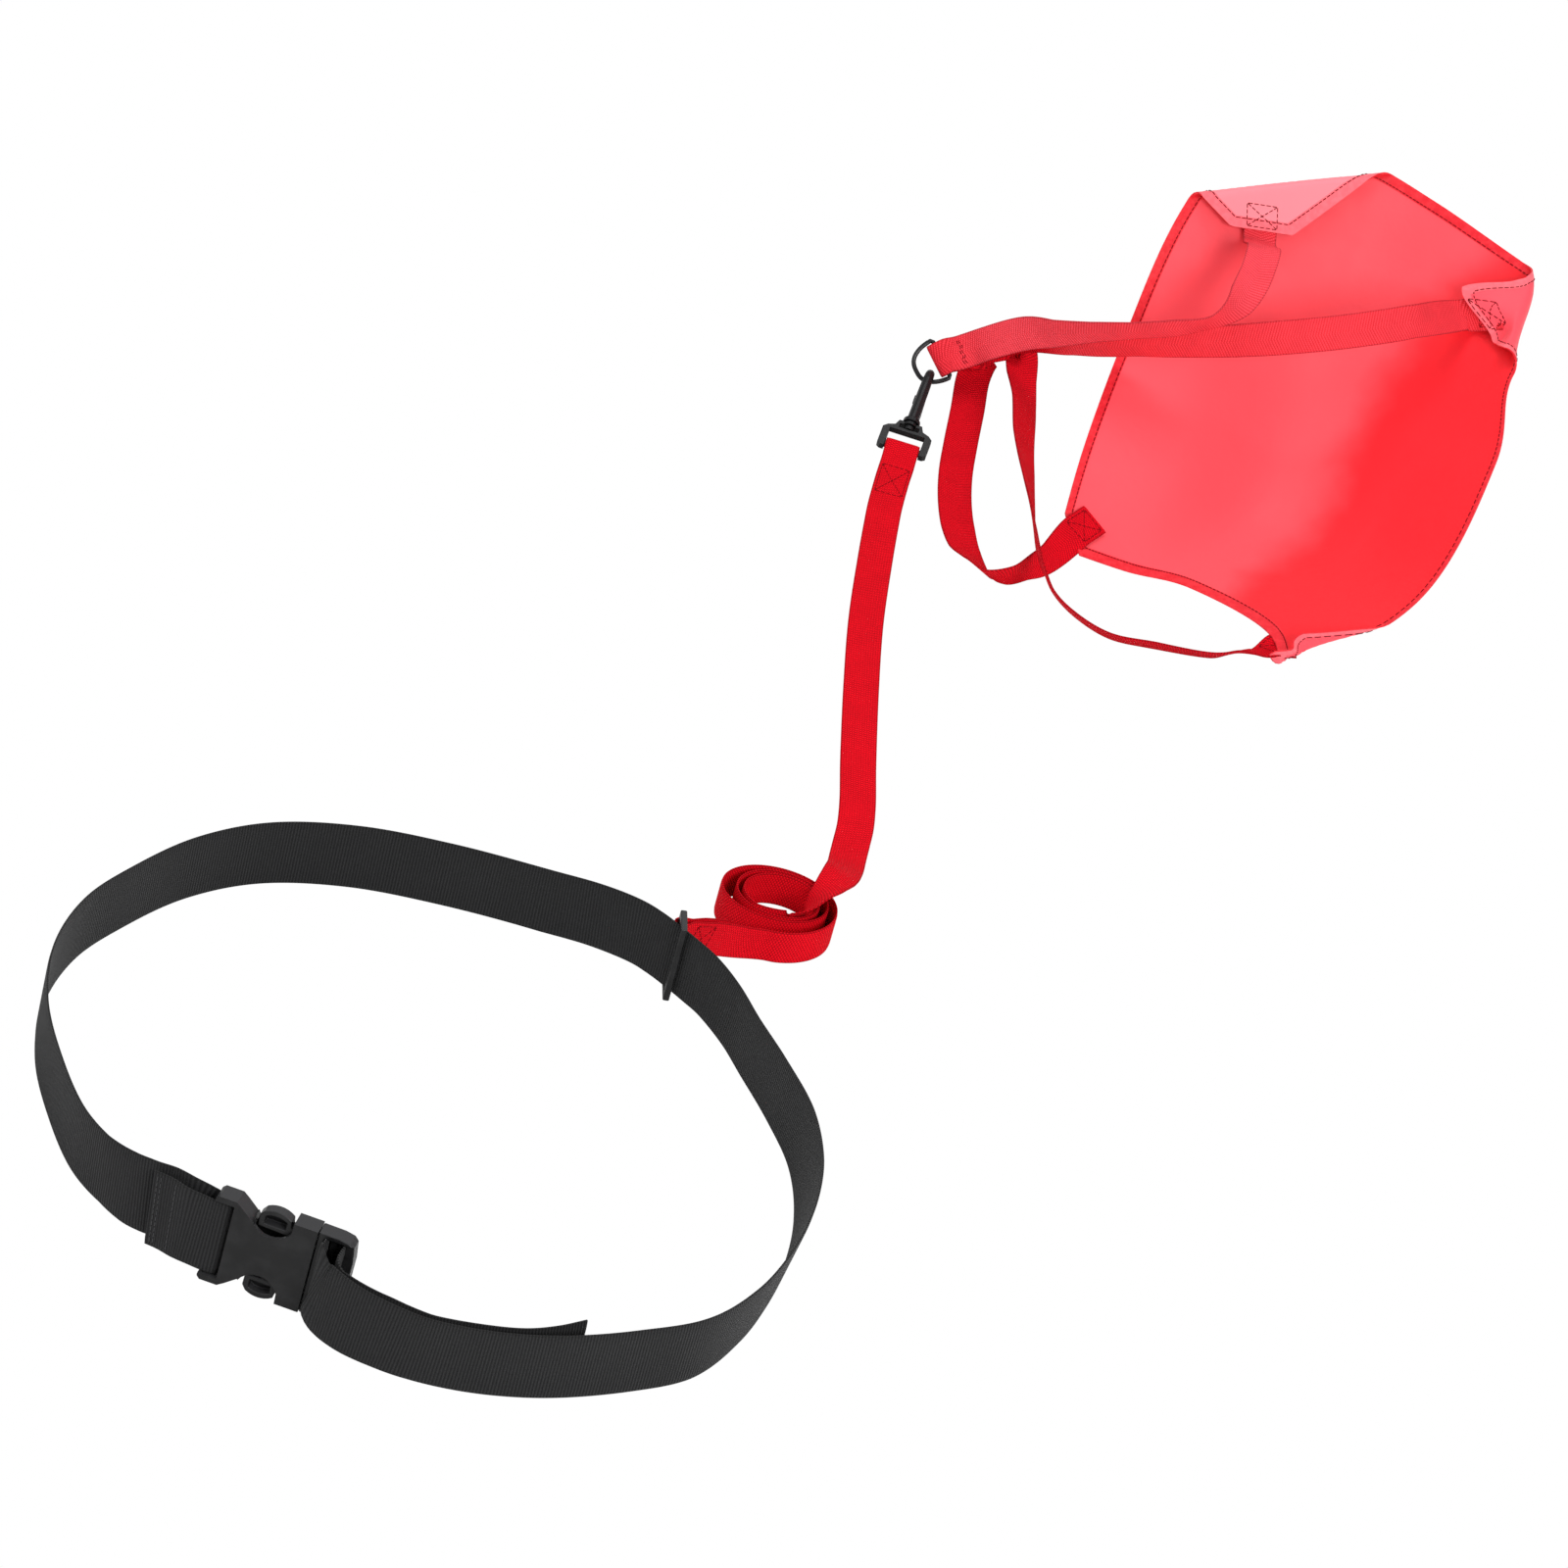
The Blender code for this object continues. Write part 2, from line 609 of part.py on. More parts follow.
def make_hook(hook, plastic):
    pivot = Vector(HOOK_BAR)
    reach = EYE_REACH
    frame = [(-3.6, 16.2), (-2.0, EYE_HALF), (reach - 0.6, EYE_HALF), (reach + 2.4, 15.5),
             (reach + 4.4, 10.5), (reach + 9.4, 8.5)]
    flat = [(x, z) for x, z in frame]
    outline = flat + [(x, -z) for x, z in reversed(flat)]
    body = slab(outline, -2.6, 2.6)
    window = block((EYE_BAR_RADIUS, -9.0, -13.2), (reach, 9.0, 13.2))
    head_room = block((reach + 2.6, -9.0, -7.4), (reach + 6.7, 9.0, 7.4))
    notch_top = block((-9.0, EYE_BAR_RADIUS, -13.2), (2.5, 9.0, 13.2))
    notch_low = block((-9.0, -9.0, -13.2), (2.5, -EYE_BAR_RADIUS, 13.2))
    end_cut = block((-9.0, -9.0, -13.2), (-EYE_BAR_RADIUS, 9.0, 13.2))
    boss = rod((reach + 6.5, 0.0, 0.0), (reach + 9.4, 0.0, 0.0), 5.2)
    stem_hole = rod((reach + 5.4, 0.0, 0.0), (reach + 11.4, 0.0, 0.0), 2.4)
    lay = hook @ Matrix.Rotation(math.radians(90), 4, "X")
    eye = build("hook_eye", body,
                [("UNION", boss), ("DIFFERENCE", window), ("DIFFERENCE", head_room), ("DIFFERENCE", notch_top),
                 ("DIFFERENCE", notch_low), ("DIFFERENCE", end_cut), ("DIFFERENCE", stem_hole)],
                lay, plastic, 0.0, pivot)

    def spot(s, n):
        return Vector((s, 0.0, n))

    cx, cz = BOWL_CENTRE
    path = [spot(reach + 11.9, 0), spot(reach + 25, 0), spot(cx - 18.5, 0), spot(cx - 8.5, 0.2),
            spot(cx - 2, BOWL_RADIUS + cz)]
    radii = [4.2, 4.1, 4.0, 3.9, 3.7]
    for step in range(1, 10):
        angle = math.radians(90 - 20 * step)
        path.append(spot(cx + BOWL_RADIUS * math.cos(angle), cz + BOWL_RADIUS * math.sin(angle)))
        radii.append(3.6 - 0.13 * step)
    path.append(spot(cx - 6, cz - BOWL_RADIUS))
    radii.append(2.1)
    body = tube(path, radii, 14)
    stem = rod((reach + 4.4, 0.0, 0.0), (reach + 13.4, 0.0, 0.0), 2.0)
    head = rod((reach + 3.0, 0.0, 0.0), (reach + 6.2, 0.0, 0.0), 3.9)
    collar = rod((reach + 9.8, 0.0, 0.0), (reach + 13.0, 0.0, 0.0), 6.4)
    gx = GATE_PIVOT[0]
    heel = slab([(gx - 6, 0.0), (gx - 5.5, -8.0), (gx - 3, -10.6), (gx + 2.5, -10.6), (gx + 5.5, -5.0),
                 (gx + 10, 0.0)], -4.0, 4.0)
    seat = block((gx - 3.4, -2.4 - FIT_GAP, -12.0), (gx + 13, 2.4 + FIT_GAP, -3.9))
    body_thing = build("hook_body", body,
                       [("UNION", heel), ("DIFFERENCE", seat), ("UNION", stem), ("UNION", head),
                        ("UNION", collar)], hook, plastic, 0.0, pivot)

    knuckle = rod((GATE_PIVOT[0], -2.4, GATE_PIVOT[1]), (GATE_PIVOT[0], 2.4, GATE_PIVOT[1]), 2.6)
    run = Vector((GATE_END[0] - GATE_PIVOT[0], GATE_END[1] - GATE_PIVOT[1])).normalized()
    normal = Vector((-run.y, run.x))
    leaf = []
    for base, side in ((GATE_PIVOT, 1.5), (GATE_END, 1.1), (GATE_END, -1.1), (GATE_PIVOT, -1.5)):
        leaf.append((base[0] + normal.x * side, base[1] + normal.y * side))
    tab = block((gx + 13, 2.0, -12.6), (gx + 18.5, 5.4, -8.8))
    gate = build("hook_gate", slab(leaf, -2.4, 2.4), [("UNION", knuckle), ("UNION", tab)], hook, plastic,
                 0.0, hook @ Vector((GATE_PIVOT[0], 0.0, GATE_PIVOT[1])))
    return eye, body_thing, gate


def make_dee(dee, touch, metal):
    path = [Vector((-DEE_HALF + 1.5, 0.0, 0.0))]
    for x in (-6.0, 0.0, 6.0, DEE_HALF - 1.5):
        path.append(Vector((x, 0.0, 0.0)))
    for step in range(25):
        path.append(dee_point(math.radians(4 + 172 * step / 24)))
    sides = 10
    points = []
    count = len(path)
    for i, centre in enumerate(path):
        along = (path[(i + 1) % count] - path[i - 1]).normalized()
        side = Vector((0.0, 1.0, 0.0))
        up = along.cross(side)
        for k in range(sides):
            angle = 2 * math.pi * k / sides
            points.append(dee @ (centre + side * math.cos(angle) * WIRE + up * math.sin(angle) * WIRE))
    faces = []
    for i in range(count):
        for k in range(sides):
            a = i * sides + k
            b = i * sides + (k + 1) % sides
            step = sides if i + 1 < count else sides - count * sides
            faces.append((a, b, b + step, a + step))
    return add_object("chute_ring", points, faces, metal, touch)


# Canopy: a net of points 85 mm apart on the flat cloth, then three folded corners

NET = (
    ((298, 757, 18), (352, 772, 4), (400, 778, 1), (450, 754, 10), (469, 700, 12)),
    ((300, 850, 47), (365, 854, 35), (435, 881, 5), (508, 846, 21), (559, 788, 39)),
    ((309, 945, 90), (384, 954, 76), (459, 964, 56), (531, 928, 77), (588, 883, 104)),
    ((322, 1005, 156), (406, 1018, 141), (481, 1023, 122), (550, 987, 131), (586, 946, 144)),
    ((352, 1070, 218), (438, 1074, 208), (505, 1064, 194), (590, 1033, 178), (627, 1018, 182)),
)
NET_STEP = CANOPY_SIDE / 4
FOLDS = (
    ((0.0, 270.0), (128.0, 340.0), 5.0, 180.0, -0.4),
    ((234.0, 340.0), (340.0, 250.0), 7.0, 172.0, 0.6),
)
LINES_P = (0, 14, 28, 42, 56, 72, 88, 104, 120, 140, 165, 190, 212, 232, 248, 262, 276, 288, 300, 312, 326, 340)
LINES_Q = (0, 14, 28, 48, 72, 98, 124, 150, 175, 200, 222, 242, 256, 266, 274, 281, 288, 295, 303, 312, 326, 340)


def even_spline(points, t):
    index = int(min(max(math.floor(t), 0), len(points) - 2))
    f = t - index
    p1 = points[index]
    p2 = points[index + 1]
    p0 = points[index - 1] if index > 0 else 2 * p1 - p2
    p3 = points[index + 2] if index + 2 < len(points) else 2 * p2 - p1
    return 0.5 * (2 * p1 + (p2 - p0) * f + (2 * p0 - 5 * p1 + 4 * p2 - p3) * f * f
                  + (3 * p1 - p0 - 3 * p2 + p3) * f ** 3)


def unfolded(p, q):
    rows = [even_spline([Vector(v) for v in row], p / NET_STEP) for row in NET]
    return even_spline(rows, q / NET_STEP)


def cloth(p, q):
    """Place of the flat cloth's point (p, q), with its corners folded over."""
    for (ax, ay), (bx, by), radius, degrees, slide in FOLDS:
        line = Vector((bx - ax, by - ay)).normalized()
        out = Vector((line.y, -line.x))
        middle = Vector((CANOPY_SIDE / 2 - ax, CANOPY_SIDE / 2 - ay))
        if middle.dot(out) > 0:
            out = -out
        past = Vector((p - ax, q - ay)).dot(out)
        if past <= 0:
            continue
        foot = Vector((p, q)) - out * past
        start = unfolded(foot.x, foot.y)
        away = unfolded(foot.x + out.x * 2, foot.y + out.y * 2)
        away = (away - unfolded(foot.x - out.x * 2, foot.y - out.y * 2)).normalized()
        cross = unfolded(foot.x - out.y * 2, foot.y + out.x * 2)
        cross = cross - unfolded(foot.x + out.y * 2, foot.y - out.x * 2)
        cross = (cross - away * cross.dot(away)).normalized()
        inside = away.cross(cross)
        total = math.radians(degrees)
        bend = min(past / radius, total)
        rest = max(past - radius * total, 0.0)
        along = radius * math.sin(bend) + rest * math.cos(bend)
        lift = radius * (1 - math.cos(bend)) + rest * math.sin(bend)
        return start + away * along + inside * lift + cross * (slide * rest)
    return unfolded(p, q)


def cloth_normal(p, q):
    """Unit direction out of the inside face."""
    d = 1.5
    one = cloth(p + d, q) - cloth(p - d, q)
    two = cloth(p, q + d) - cloth(p, q - d)
    return one.cross(two).normalized()


def flat_place(i, j):
    """Cloth coordinates of grid point (i, j), with the four corners cut off."""
    p = LINES_P[i]
    q = LINES_Q[j]
    from_p = min(p, CANOPY_SIDE - p)
    from_q = min(q, CANOPY_SIDE - q)
    short = CORNER_CUT - from_p - from_q
    if from_p == from_q == CORNER_CUT / 2:
        short = CORNER_CUT / 2
    if short > 0:
        p += short / 2 if p * 2 < CANOPY_SIDE else -short / 2
        q += short / 2 if q * 2 < CANOPY_SIDE else -short / 2
    return p, q


def make_canopy(cloth_red):
    count = len(LINES_P)
    cells = count - 1
    inner = []
    outer = []
    for j in range(count):
        for i in range(count):
            p, q = flat_place(i, j)
            centre = cloth(p, q)
            centre.z = max(centre.z, CANOPY_THICK / 2)
            offset = cloth_normal(p, q) * (CANOPY_THICK / 2)
            for found, sign in ((inner, 1), (outer, -1)):
                point = centre + offset * sign
                point.z = max(point.z, 0.0)
                found.append(point)
    faces = []
    total = count * count
    for j in range(cells):
        for i in range(cells):
            a = j * count + i
            quad = (a, a + 1, a + 1 + count, a + count)
            faces.append(quad)
            faces.append(tuple(total + v for v in reversed(quad)))
    rim = [i for i in range(count)]
    rim += [j * count + cells for j in range(1, count)]
    rim += [cells * count + i for i in range(cells - 1, -1, -1)]
    rim += [j * count for j in range(cells - 1, 0, -1)]
    for k, a in enumerate(rim):
        b = rim[(k + 1) % len(rim)]
        faces.append((b, a, total + a, total + b))
    return inner + outer, faces


# Chute straps

OFFSET = CANOPY_THICK / 2 + FIT_GAP + STRAP_THICK / 2


def patch(corner, way, face, reaches):
    """Rows of a strap end sewn on one face of the cloth, from the cut edge inwards."""
    rows = []
    side = Vector((-way[1], way[0]))
    for reach in reaches:
        p = corner[0] + way[0] * reach
        q = corner[1] + way[1] * reach
        one = cloth(p + side.x * STRAP_WIDTH / 2, q + side.y * STRAP_WIDTH / 2)
        two = cloth(p - side.x * STRAP_WIDTH / 2, q - side.y * STRAP_WIDTH / 2)
        outward = cloth_normal(p, q) * face
        hollow = ((one + two) / 2 - cloth(p, q)).dot(outward)
        lift = 2.8 if reach < 0 else 1.0 if reach < 5 else 0.5
        centre = cloth(p, q) + outward * (OFFSET + lift + max(hollow, 0.0))
        rows.append((centre, one - two))
    return rows


def ring_stack(dee, level):
    """Rows round the straight bar of the ring; level 0 lies on the bar, level 1 on level 0."""
    wrap = WIRE + FIT_GAP + 0.15 + STRAP_THICK / 2 + level * (STRAP_THICK + 0.8)
    close = (STRAP_THICK + 0.8) * (0.5 + level)
    bar = dee.to_3x3() @ Vector((1.0, 0.0, 0.0))
    rows = []
    for far, height in ((22.0, close), (12.0, close + 0.2), (5.0, wrap * 0.93)):
        rows.append((dee @ Vector((0.0, height, -far)), bar))
    for step in range(5):
        angle = math.radians(90 + 45 * step)
        rows.append((dee @ Vector((0.0, wrap * math.sin(angle), -wrap * math.cos(angle))), bar))
    for far, height in ((5.0, wrap * 0.93), (12.0, close + 0.2), (22.0, close)):
        rows.append((dee @ Vector((0.0, -height, -far)), bar))
    return rows


VIEW = (0.0, 0.804, -0.595)
DOWN = (0.267, -0.573, -0.775)


def blend_side(degrees):
    """Width direction between straight down in the picture and straight away from it."""
    angle = math.radians(degrees)
    return Vector(DOWN) * math.cos(angle) + Vector(VIEW) * math.sin(angle)


def in_picture(degrees):
    """Direction square to the line of sight, at an angle up from sideways."""
    angle = math.radians(degrees)
    return Vector((math.cos(angle), 0.595 * math.sin(angle), 0.804 * math.sin(angle)))


def turned_over(start, heading, across, axis, radius):
    """Rows of a strap that folds back over a slanted axis, away from the viewer."""
    away = Vector(VIEW)
    lean = in_picture(axis)
    climb = in_picture(axis + 90)
    rows = []
    for step in range(5):
        turn = math.pi * step / 4
        level = climb * math.cos(turn) + away * math.sin(turn)
        gone = radius * turn * heading.dot(lean) / heading.dot(climb)
        point = start + lean * gone + climb * (radius * math.sin(turn))
        point += away * (radius * (1 - math.cos(turn)))
        rows.append((point, lean * across.dot(lean) + level * across.dot(climb)))
    return rows


def make_straps(dee, red):
    half = CANOPY_SIDE
    edge = CORNER_CUT / 2
    diagonal = math.sqrt(0.5)
    ahead = dee.to_3x3() @ Vector((0.0, 0.0, -1.0))
    bar = dee.to_3x3() @ Vector((1.0, 0.0, 0.0))
    away = Vector(VIEW)
    leave = dee.translation + ahead * 22
    upper_left = [((214, 929.5, 58.5), blend_side(3)), ((238, 921, 80.5), blend_side(22)),
                  ((261, 909, 96), blend_side(50)), ((286, 903, 109), blend_side(62)),
                  ((314, 899, 122), blend_side(68)), ((341, 899, 133), blend_side(66)),
                  ((364, 905, 142), (0.35, 0.70, -0.60)), ((378, 919, 152), (0.70, 0.60, -0.25)),
                  ((386, 942, 163), (0.90, 0.30, 0.0)), ((388, 966, 174), (1.0, 0.1, 0.0))]
    upper_right = [((215, 933.5, 56), blend_side(3)), ((240, 927, 75), blend_side(22)),
                   ((271, 915, 87), blend_side(50)), ((297, 914, 92.5), blend_side(60)),
                   ((317, 914, 100.5), blend_side(55)), ((344, 913.5, 111), blend_side(42)),
                   ((388, 917.5, 125.5), blend_side(22)), ((421, 921, 137), blend_side(8)),
                   ((455, 931, 146), blend_side(0)), ((488, 943, 155), blend_side(0)),
                   ((507, 950, 161), blend_side(15))]
    lower_left = turned_over(leave + ahead * 5 + away * 4.3, ahead, bar, -36, 6.0)
    lower_left += [((211, 941, 19), (1, 0, 0)),
                   ((213, 913, 8.5), (1, 0, 0)), ((214.5, 875, 2.5), (1, 0, 0)), ((216.5, 838, 0.9), (1, 0, 0)),
                   ((221, 803, 0.8), (1, 0, 0)), ((227.5, 773, 1.2), (0.95, 0.2, 0)),
                   ((236, 745, 5), (0.7, 0.5, -0.4)), ((246, 727, 10), (0.3, 0.6, -0.75)),
                   ((258, 718, 13), (0.0, 0.45, -0.9)), ((272, 721, 12.9), (-0.05, 0.25, -0.95)),
                   ((284, 733, 12.9), (0.1, 0.1, -0.95)), ((294, 746, 14), (0.35, -0.1, -0.85))]
    lower_right = [(leave + ahead * far + away * 1.2, bar) for far in (8, 16, 23)]
    lower_right += turned_over(leave + ahead * 28 + away * 1.2, ahead, bar, -16.5, 3.0)
    lower_right += [((238, 950, 47), (0.95, 0.1, 0.0)), ((245, 930, 37), (0.9, 0.05, -0.35)),
                    ((251, 905, 33), (0.83, 0.0, -0.56)), ((257, 862, 31), (0.77, 0.0, -0.64)),
                    ((263, 828, 32), (0.67, 0.05, -0.74)), ((270, 791, 34), (0.5, 0.1, -0.86)),
                    ((276, 757, 38), (0.3, 0.25, -0.92)), ((283, 724, 40), (0.1, 0.55, -0.83)),
                    ((293, 697, 37), VIEW),
                    ((303, 687, 28), VIEW), ((320, 680, 20), VIEW), ((348, 676, 11.5), VIEW),
                    ((380, 681, 9.5), VIEW), ((424, 696, 9.5), VIEW)]
    made = []
    for name, level, first, last, top, bottom in (
        ("strap_outer", 1, upper_left, lower_left, ((edge, half - edge), (diagonal, -diagonal), 1),
         ((edge, edge), (diagonal, diagonal), 1)),
        ("strap_inner", 0, upper_right, lower_right, ((half - edge, half - edge), (-diagonal, -diagonal), 1),
         ((half - edge, edge), (-diagonal, diagonal), -1)),
    ):
        rows = []
        reference = Vector(first[-1][1])
        for centre, across in reversed(patch(*top, (-7.0, 3.0, 12.0, 21.0))):
            rows.append((centre, across if across.dot(reference) > 0 else -across))
        rows += list(reversed(first))
        rows += ring_stack(dee, level)
        rows += last
        reference = Vector(last[-1][1])
        for centre, across in patch(*bottom, (-7.0, 3.0, 14.0, 25.0)):
            rows.append((centre, across if across.dot(reference) > 0 else -across))
        stations = route(rows, longest=18.0, turn=20.0)
        report_gap(name, stations, STRAP_WIDTH, STRAP_THICK)
        made.append(ribbon(name, stations, STRAP_WIDTH, STRAP_THICK, red, dee.translation))
    return made


def main():
    clear_scene()
    black = paint("belt_black", (0.012, 0.012, 0.013), 0.85)
    plastic = paint("plastic_black", (0.015, 0.015, 0.016), 0.45)
    red = paint("webbing_red", (0.72, 0.004, 0.016), 0.8)
    cloth_red = paint("cloth_red", (0.88, 0.03, 0.05), 0.65)
    metal = paint("ring_black", (0.02, 0.02, 0.022), 0.35)

    buckle = buckle_frame()
    hook = hook_frame()
    dee, touch = dee_frame(hook)
    things = [make_belt(buckle, black)]
    socket, plug, prongs = make_buckle(buckle, plastic)
    things += [socket, plug, *prongs, make_belt_ring(plastic), make_tether(red)]
    things += make_hook(hook, plastic)
    things.append(make_dee(dee, touch, metal))
    points, faces = make_canopy(cloth_red)
    things.append(add_object("chute_canopy", points, faces, cloth_red, dee.translation))
    things += make_straps(dee, red)

    bpy.context.view_layer.update()
    low = Vector((1e9, 1e9, 1e9))
    high = -low
    for thing in things:
        finish_edges(thing)
        for vertex in thing.data.vertices:
            point = thing.matrix_world @ vertex.co
            for axis in range(3):
                low[axis] = min(low[axis], point[axis])
                high[axis] = max(high[axis], point[axis])
    shift = Vector((-(low.x + high.x) / 2, -(low.y + high.y) / 2, -low.z))
    for thing in things:
        thing.location = thing.location + shift
    print("box", [round(v, 4) for v in low], [round(v, 4) for v in high])
    print("shift", [round(v, 5) for v in shift])
    for thing in things:
        print("origin", thing.name, [round(v, 5) for v in thing.location])
    for name, frame in (("buckle", buckle), ("hook", hook), ("dee", dee), ("ring", ring_frame())):
        for index, label in enumerate("xyz"):
            column = [round(frame[row][index], 4) for row in range(3)]
            print("axis", name, label, column)


main()
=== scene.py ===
import bisect
import math

import bmesh
import bpy
from mathutils import Matrix, Vector

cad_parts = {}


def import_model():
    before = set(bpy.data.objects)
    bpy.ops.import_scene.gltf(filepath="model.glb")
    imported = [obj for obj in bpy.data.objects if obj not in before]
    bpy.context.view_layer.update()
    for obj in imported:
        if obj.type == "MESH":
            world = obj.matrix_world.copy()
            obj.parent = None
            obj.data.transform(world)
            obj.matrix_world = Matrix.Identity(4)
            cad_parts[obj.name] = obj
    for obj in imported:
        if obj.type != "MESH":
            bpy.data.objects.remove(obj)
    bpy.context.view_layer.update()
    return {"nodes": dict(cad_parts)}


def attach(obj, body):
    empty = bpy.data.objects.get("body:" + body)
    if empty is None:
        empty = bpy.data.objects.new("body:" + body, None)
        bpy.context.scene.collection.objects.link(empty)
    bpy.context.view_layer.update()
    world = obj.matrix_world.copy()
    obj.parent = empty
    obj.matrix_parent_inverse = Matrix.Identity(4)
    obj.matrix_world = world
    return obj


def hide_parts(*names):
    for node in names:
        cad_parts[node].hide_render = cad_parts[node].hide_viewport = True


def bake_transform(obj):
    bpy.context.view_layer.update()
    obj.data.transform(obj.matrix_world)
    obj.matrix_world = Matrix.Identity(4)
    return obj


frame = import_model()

# Driving dimensions, in millimetres of the layout; SHIFT goes from the layout's origin to the frame's
MM = 0.001
SHIFT = Vector((-170.17, -411.5, 0.0))
BELT_WIDTH = 50.0
BELT_THICK = 2.0
STRAP_WIDTH = 25.0
STRAP_THICK = 1.6
FIT_GAP = 0.35

BUCKLE_LENGTH = 64.0
BUCKLE_PLACE = (-99.5, -200.5, 31.2)
BUCKLE_LEAN = 8.0
BUCKLE_TURN = -6.0
SOCKET_BAR = (2.0, 8.0)
SOCKET_BAR_HALF = 2.2
PLUG_END = BUCKLE_LENGTH + 24.0
PLUG_BAR = (BUCKLE_LENGTH + 7.6, BUCKLE_LENGTH + 11.6)

RING_BAR = 4.2
RING_DEPTH = 20.5
RING_WINDOW = BELT_WIDTH + 1.2
RING_HEIGHT = RING_WINDOW + 2 * RING_BAR
RING_PLACE = (119.0, 173.0)
RING_ACROSS = (-0.19, 0.98)

HOOK_BAR = (174.0, 846.0, 5.0)
HOOK_NOSE = (180.0, 925.3, 28.3)
HOOK_WIRE = 3.3
EYE_BAR_RADIUS = 2.0
BOWL_CENTRE = (72.0, -8.2)
BOWL_RADIUS = 8.5
BOWL_TOUCH = (0.6, 0.7)

WIRE = 1.75
DEE_HALF = 15.2
DEE_DEPTH = 20.5
DEE_ROUNDNESS = 0.75
DEE_CONTACT = math.radians(52.6)
DEE_BAR_WAY = (0.670, -0.441, -0.597)
DEE_BOW_WAY = (-0.742, -0.399, -0.539)

# From each bar's middle to the middle of the webbing round it; the factors clear the corners of the bars
SOCKET_WRAP = SOCKET_BAR_HALF * 1.42 + FIT_GAP + BELT_THICK / 2
PLUG_WRAP = (PLUG_BAR[1] - PLUG_BAR[0]) * 0.62 + FIT_GAP + BELT_THICK / 2
RING_WRAP = RING_BAR * 0.68 + FIT_GAP + STRAP_THICK / 2
EYE_WRAP = EYE_BAR_RADIUS * 1.55 + FIT_GAP + STRAP_THICK / 2
DEE_WRAP = WIRE + FIT_GAP + 0.15 + STRAP_THICK / 2
LAYER_STEP = STRAP_THICK + 0.8

COIL_TURNS = 2.95
COIL_STEPS = 24

CANOPY_SIDE = 340.0
CANOPY_THICK = 1.2
CLOTH_THICK = 0.5
HEM_THICK = 1.3
HEM_WIDTH = 8.5
HEM_SEAM = 1.6
THIN_HEM = 3.6
CORNER_CUT = 28.0
CELLS = 130

# How far to each side the slope of the cloth is measured, at a fold and anywhere
FOLD_PROBE = 2.0
SLOPE_PROBE = 1.5

# Along a route: the spacing it is worked out at, and how far and how many degrees a station may be apart
FINE_STEP = 1.2
LONGEST_STEP = 2.5
MOST_TURN = 4.0

STITCH = 3.2
STITCH_GAP = 0.5
BELT_THREAD = 0.32
STRAP_THREAD = 0.28
HEM_THREAD = 0.34
THREAD_SIDES = 6
BELT_SEAM = 45.0
BOX_HALF = 9.5

# Directions of the picture: along the line of sight, upright, and straight down once the camera is turned
VIEW = (0.0, 0.804, -0.595)
UPRIGHT = (0.0, 0.595, 0.804)
DOWN = (0.267, -0.573, -0.775)
CAMERA_TURN = 15.5
CAMERA_PLACE = (156.8, -3066.1, 2581.1)
LENS = 148.5

WORLD_LIGHT = 0.55
KEY_LIGHT = 75.0
FILL_LIGHT = 18.0
TOP_LIGHT = 30.0
FLOOR_HALF = 30.0
FLOOR_LEVEL = -0.0006


# Smooth routes through given points

def neighbours(points, index):
    """The two points that a stretch lies between and one beyond each, made up at the ends."""
    p1 = points[index]
    p2 = points[index + 1]
    p0 = points[index - 1] if index > 0 else 2 * p1 - p2
    p3 = points[index + 2] if index + 2 < len(points) else 2 * p2 - p1
    return p0, p1, p2, p3


def spline(points, index, part):
    """Centripetal curve through the points, between point index and the next."""
    row = neighbours(points, index)
    knots = [0.0]
    for i in range(3):
        knots.append(knots[-1] + max((row[i + 1] - row[i]).length, 1e-6) ** 0.5)
    t = knots[1] + (knots[2] - knots[1]) * part
    for spans in (((0, 1), (1, 2), (2, 3)), ((0, 2), (1, 3)), ((1, 2),)):
        blended = []
        for i, (low, high) in enumerate(spans):
            share = (t - knots[low]) / (knots[high] - knots[low])
            blended.append(row[i] * (1 - share) + row[i + 1] * share)
        row = blended
    return row[0]


def route(rows):
    """Stations of (centre, along, across, travelled) through rows of (centre, width direction)."""
    centres = [Vector(row[0]) for row in rows]
    sides = [Vector(row[1]).normalized() for row in rows]
    fine = []
    for index in range(len(rows) - 1):
        count = max(10, int((centres[index + 1] - centres[index]).length / FINE_STEP))
        for step in range(count):
            part = step / count
            fine.append((spline(centres, index, part), sides[index].lerp(sides[index + 1], part)))
    fine.append((centres[-1], sides[-1]))
    picked = [0]
    travelled = 0.0
    turned = 0.0
    for i in range(1, len(fine) - 1):
        before = fine[i][0] - fine[i - 1][0]
        after = fine[i + 1][0] - fine[i][0]
        travelled += before.length
        turned += math.degrees(before.angle(after, 0.0))
        turned += math.degrees(fine[i][1].angle(fine[i - 1][1], 0.0))
        if travelled >= LONGEST_STEP or turned >= MOST_TURN:
            picked.append(i)
            travelled = 0.0
            turned = 0.0
    stations = []
    length = 0.0
    for i in picked + [len(fine) - 1]:
        centre, side = fine[i]
        along = (fine[min(i + 1, len(fine) - 1)][0] - fine[max(i - 1, 0)][0]).normalized()
        across = (side - along * side.dot(along)).normalized()
        if stations:
            length += (centre - stations[-1][0]).length
        stations.append((centre, along, across, length))
    return stations


# Frames of the hard pieces

def placed(x, y, z, origin):
    """Matrix with these axes and this origin."""
    return Matrix.Translation(origin) @ Matrix((x, y, z)).transposed().to_4x4()


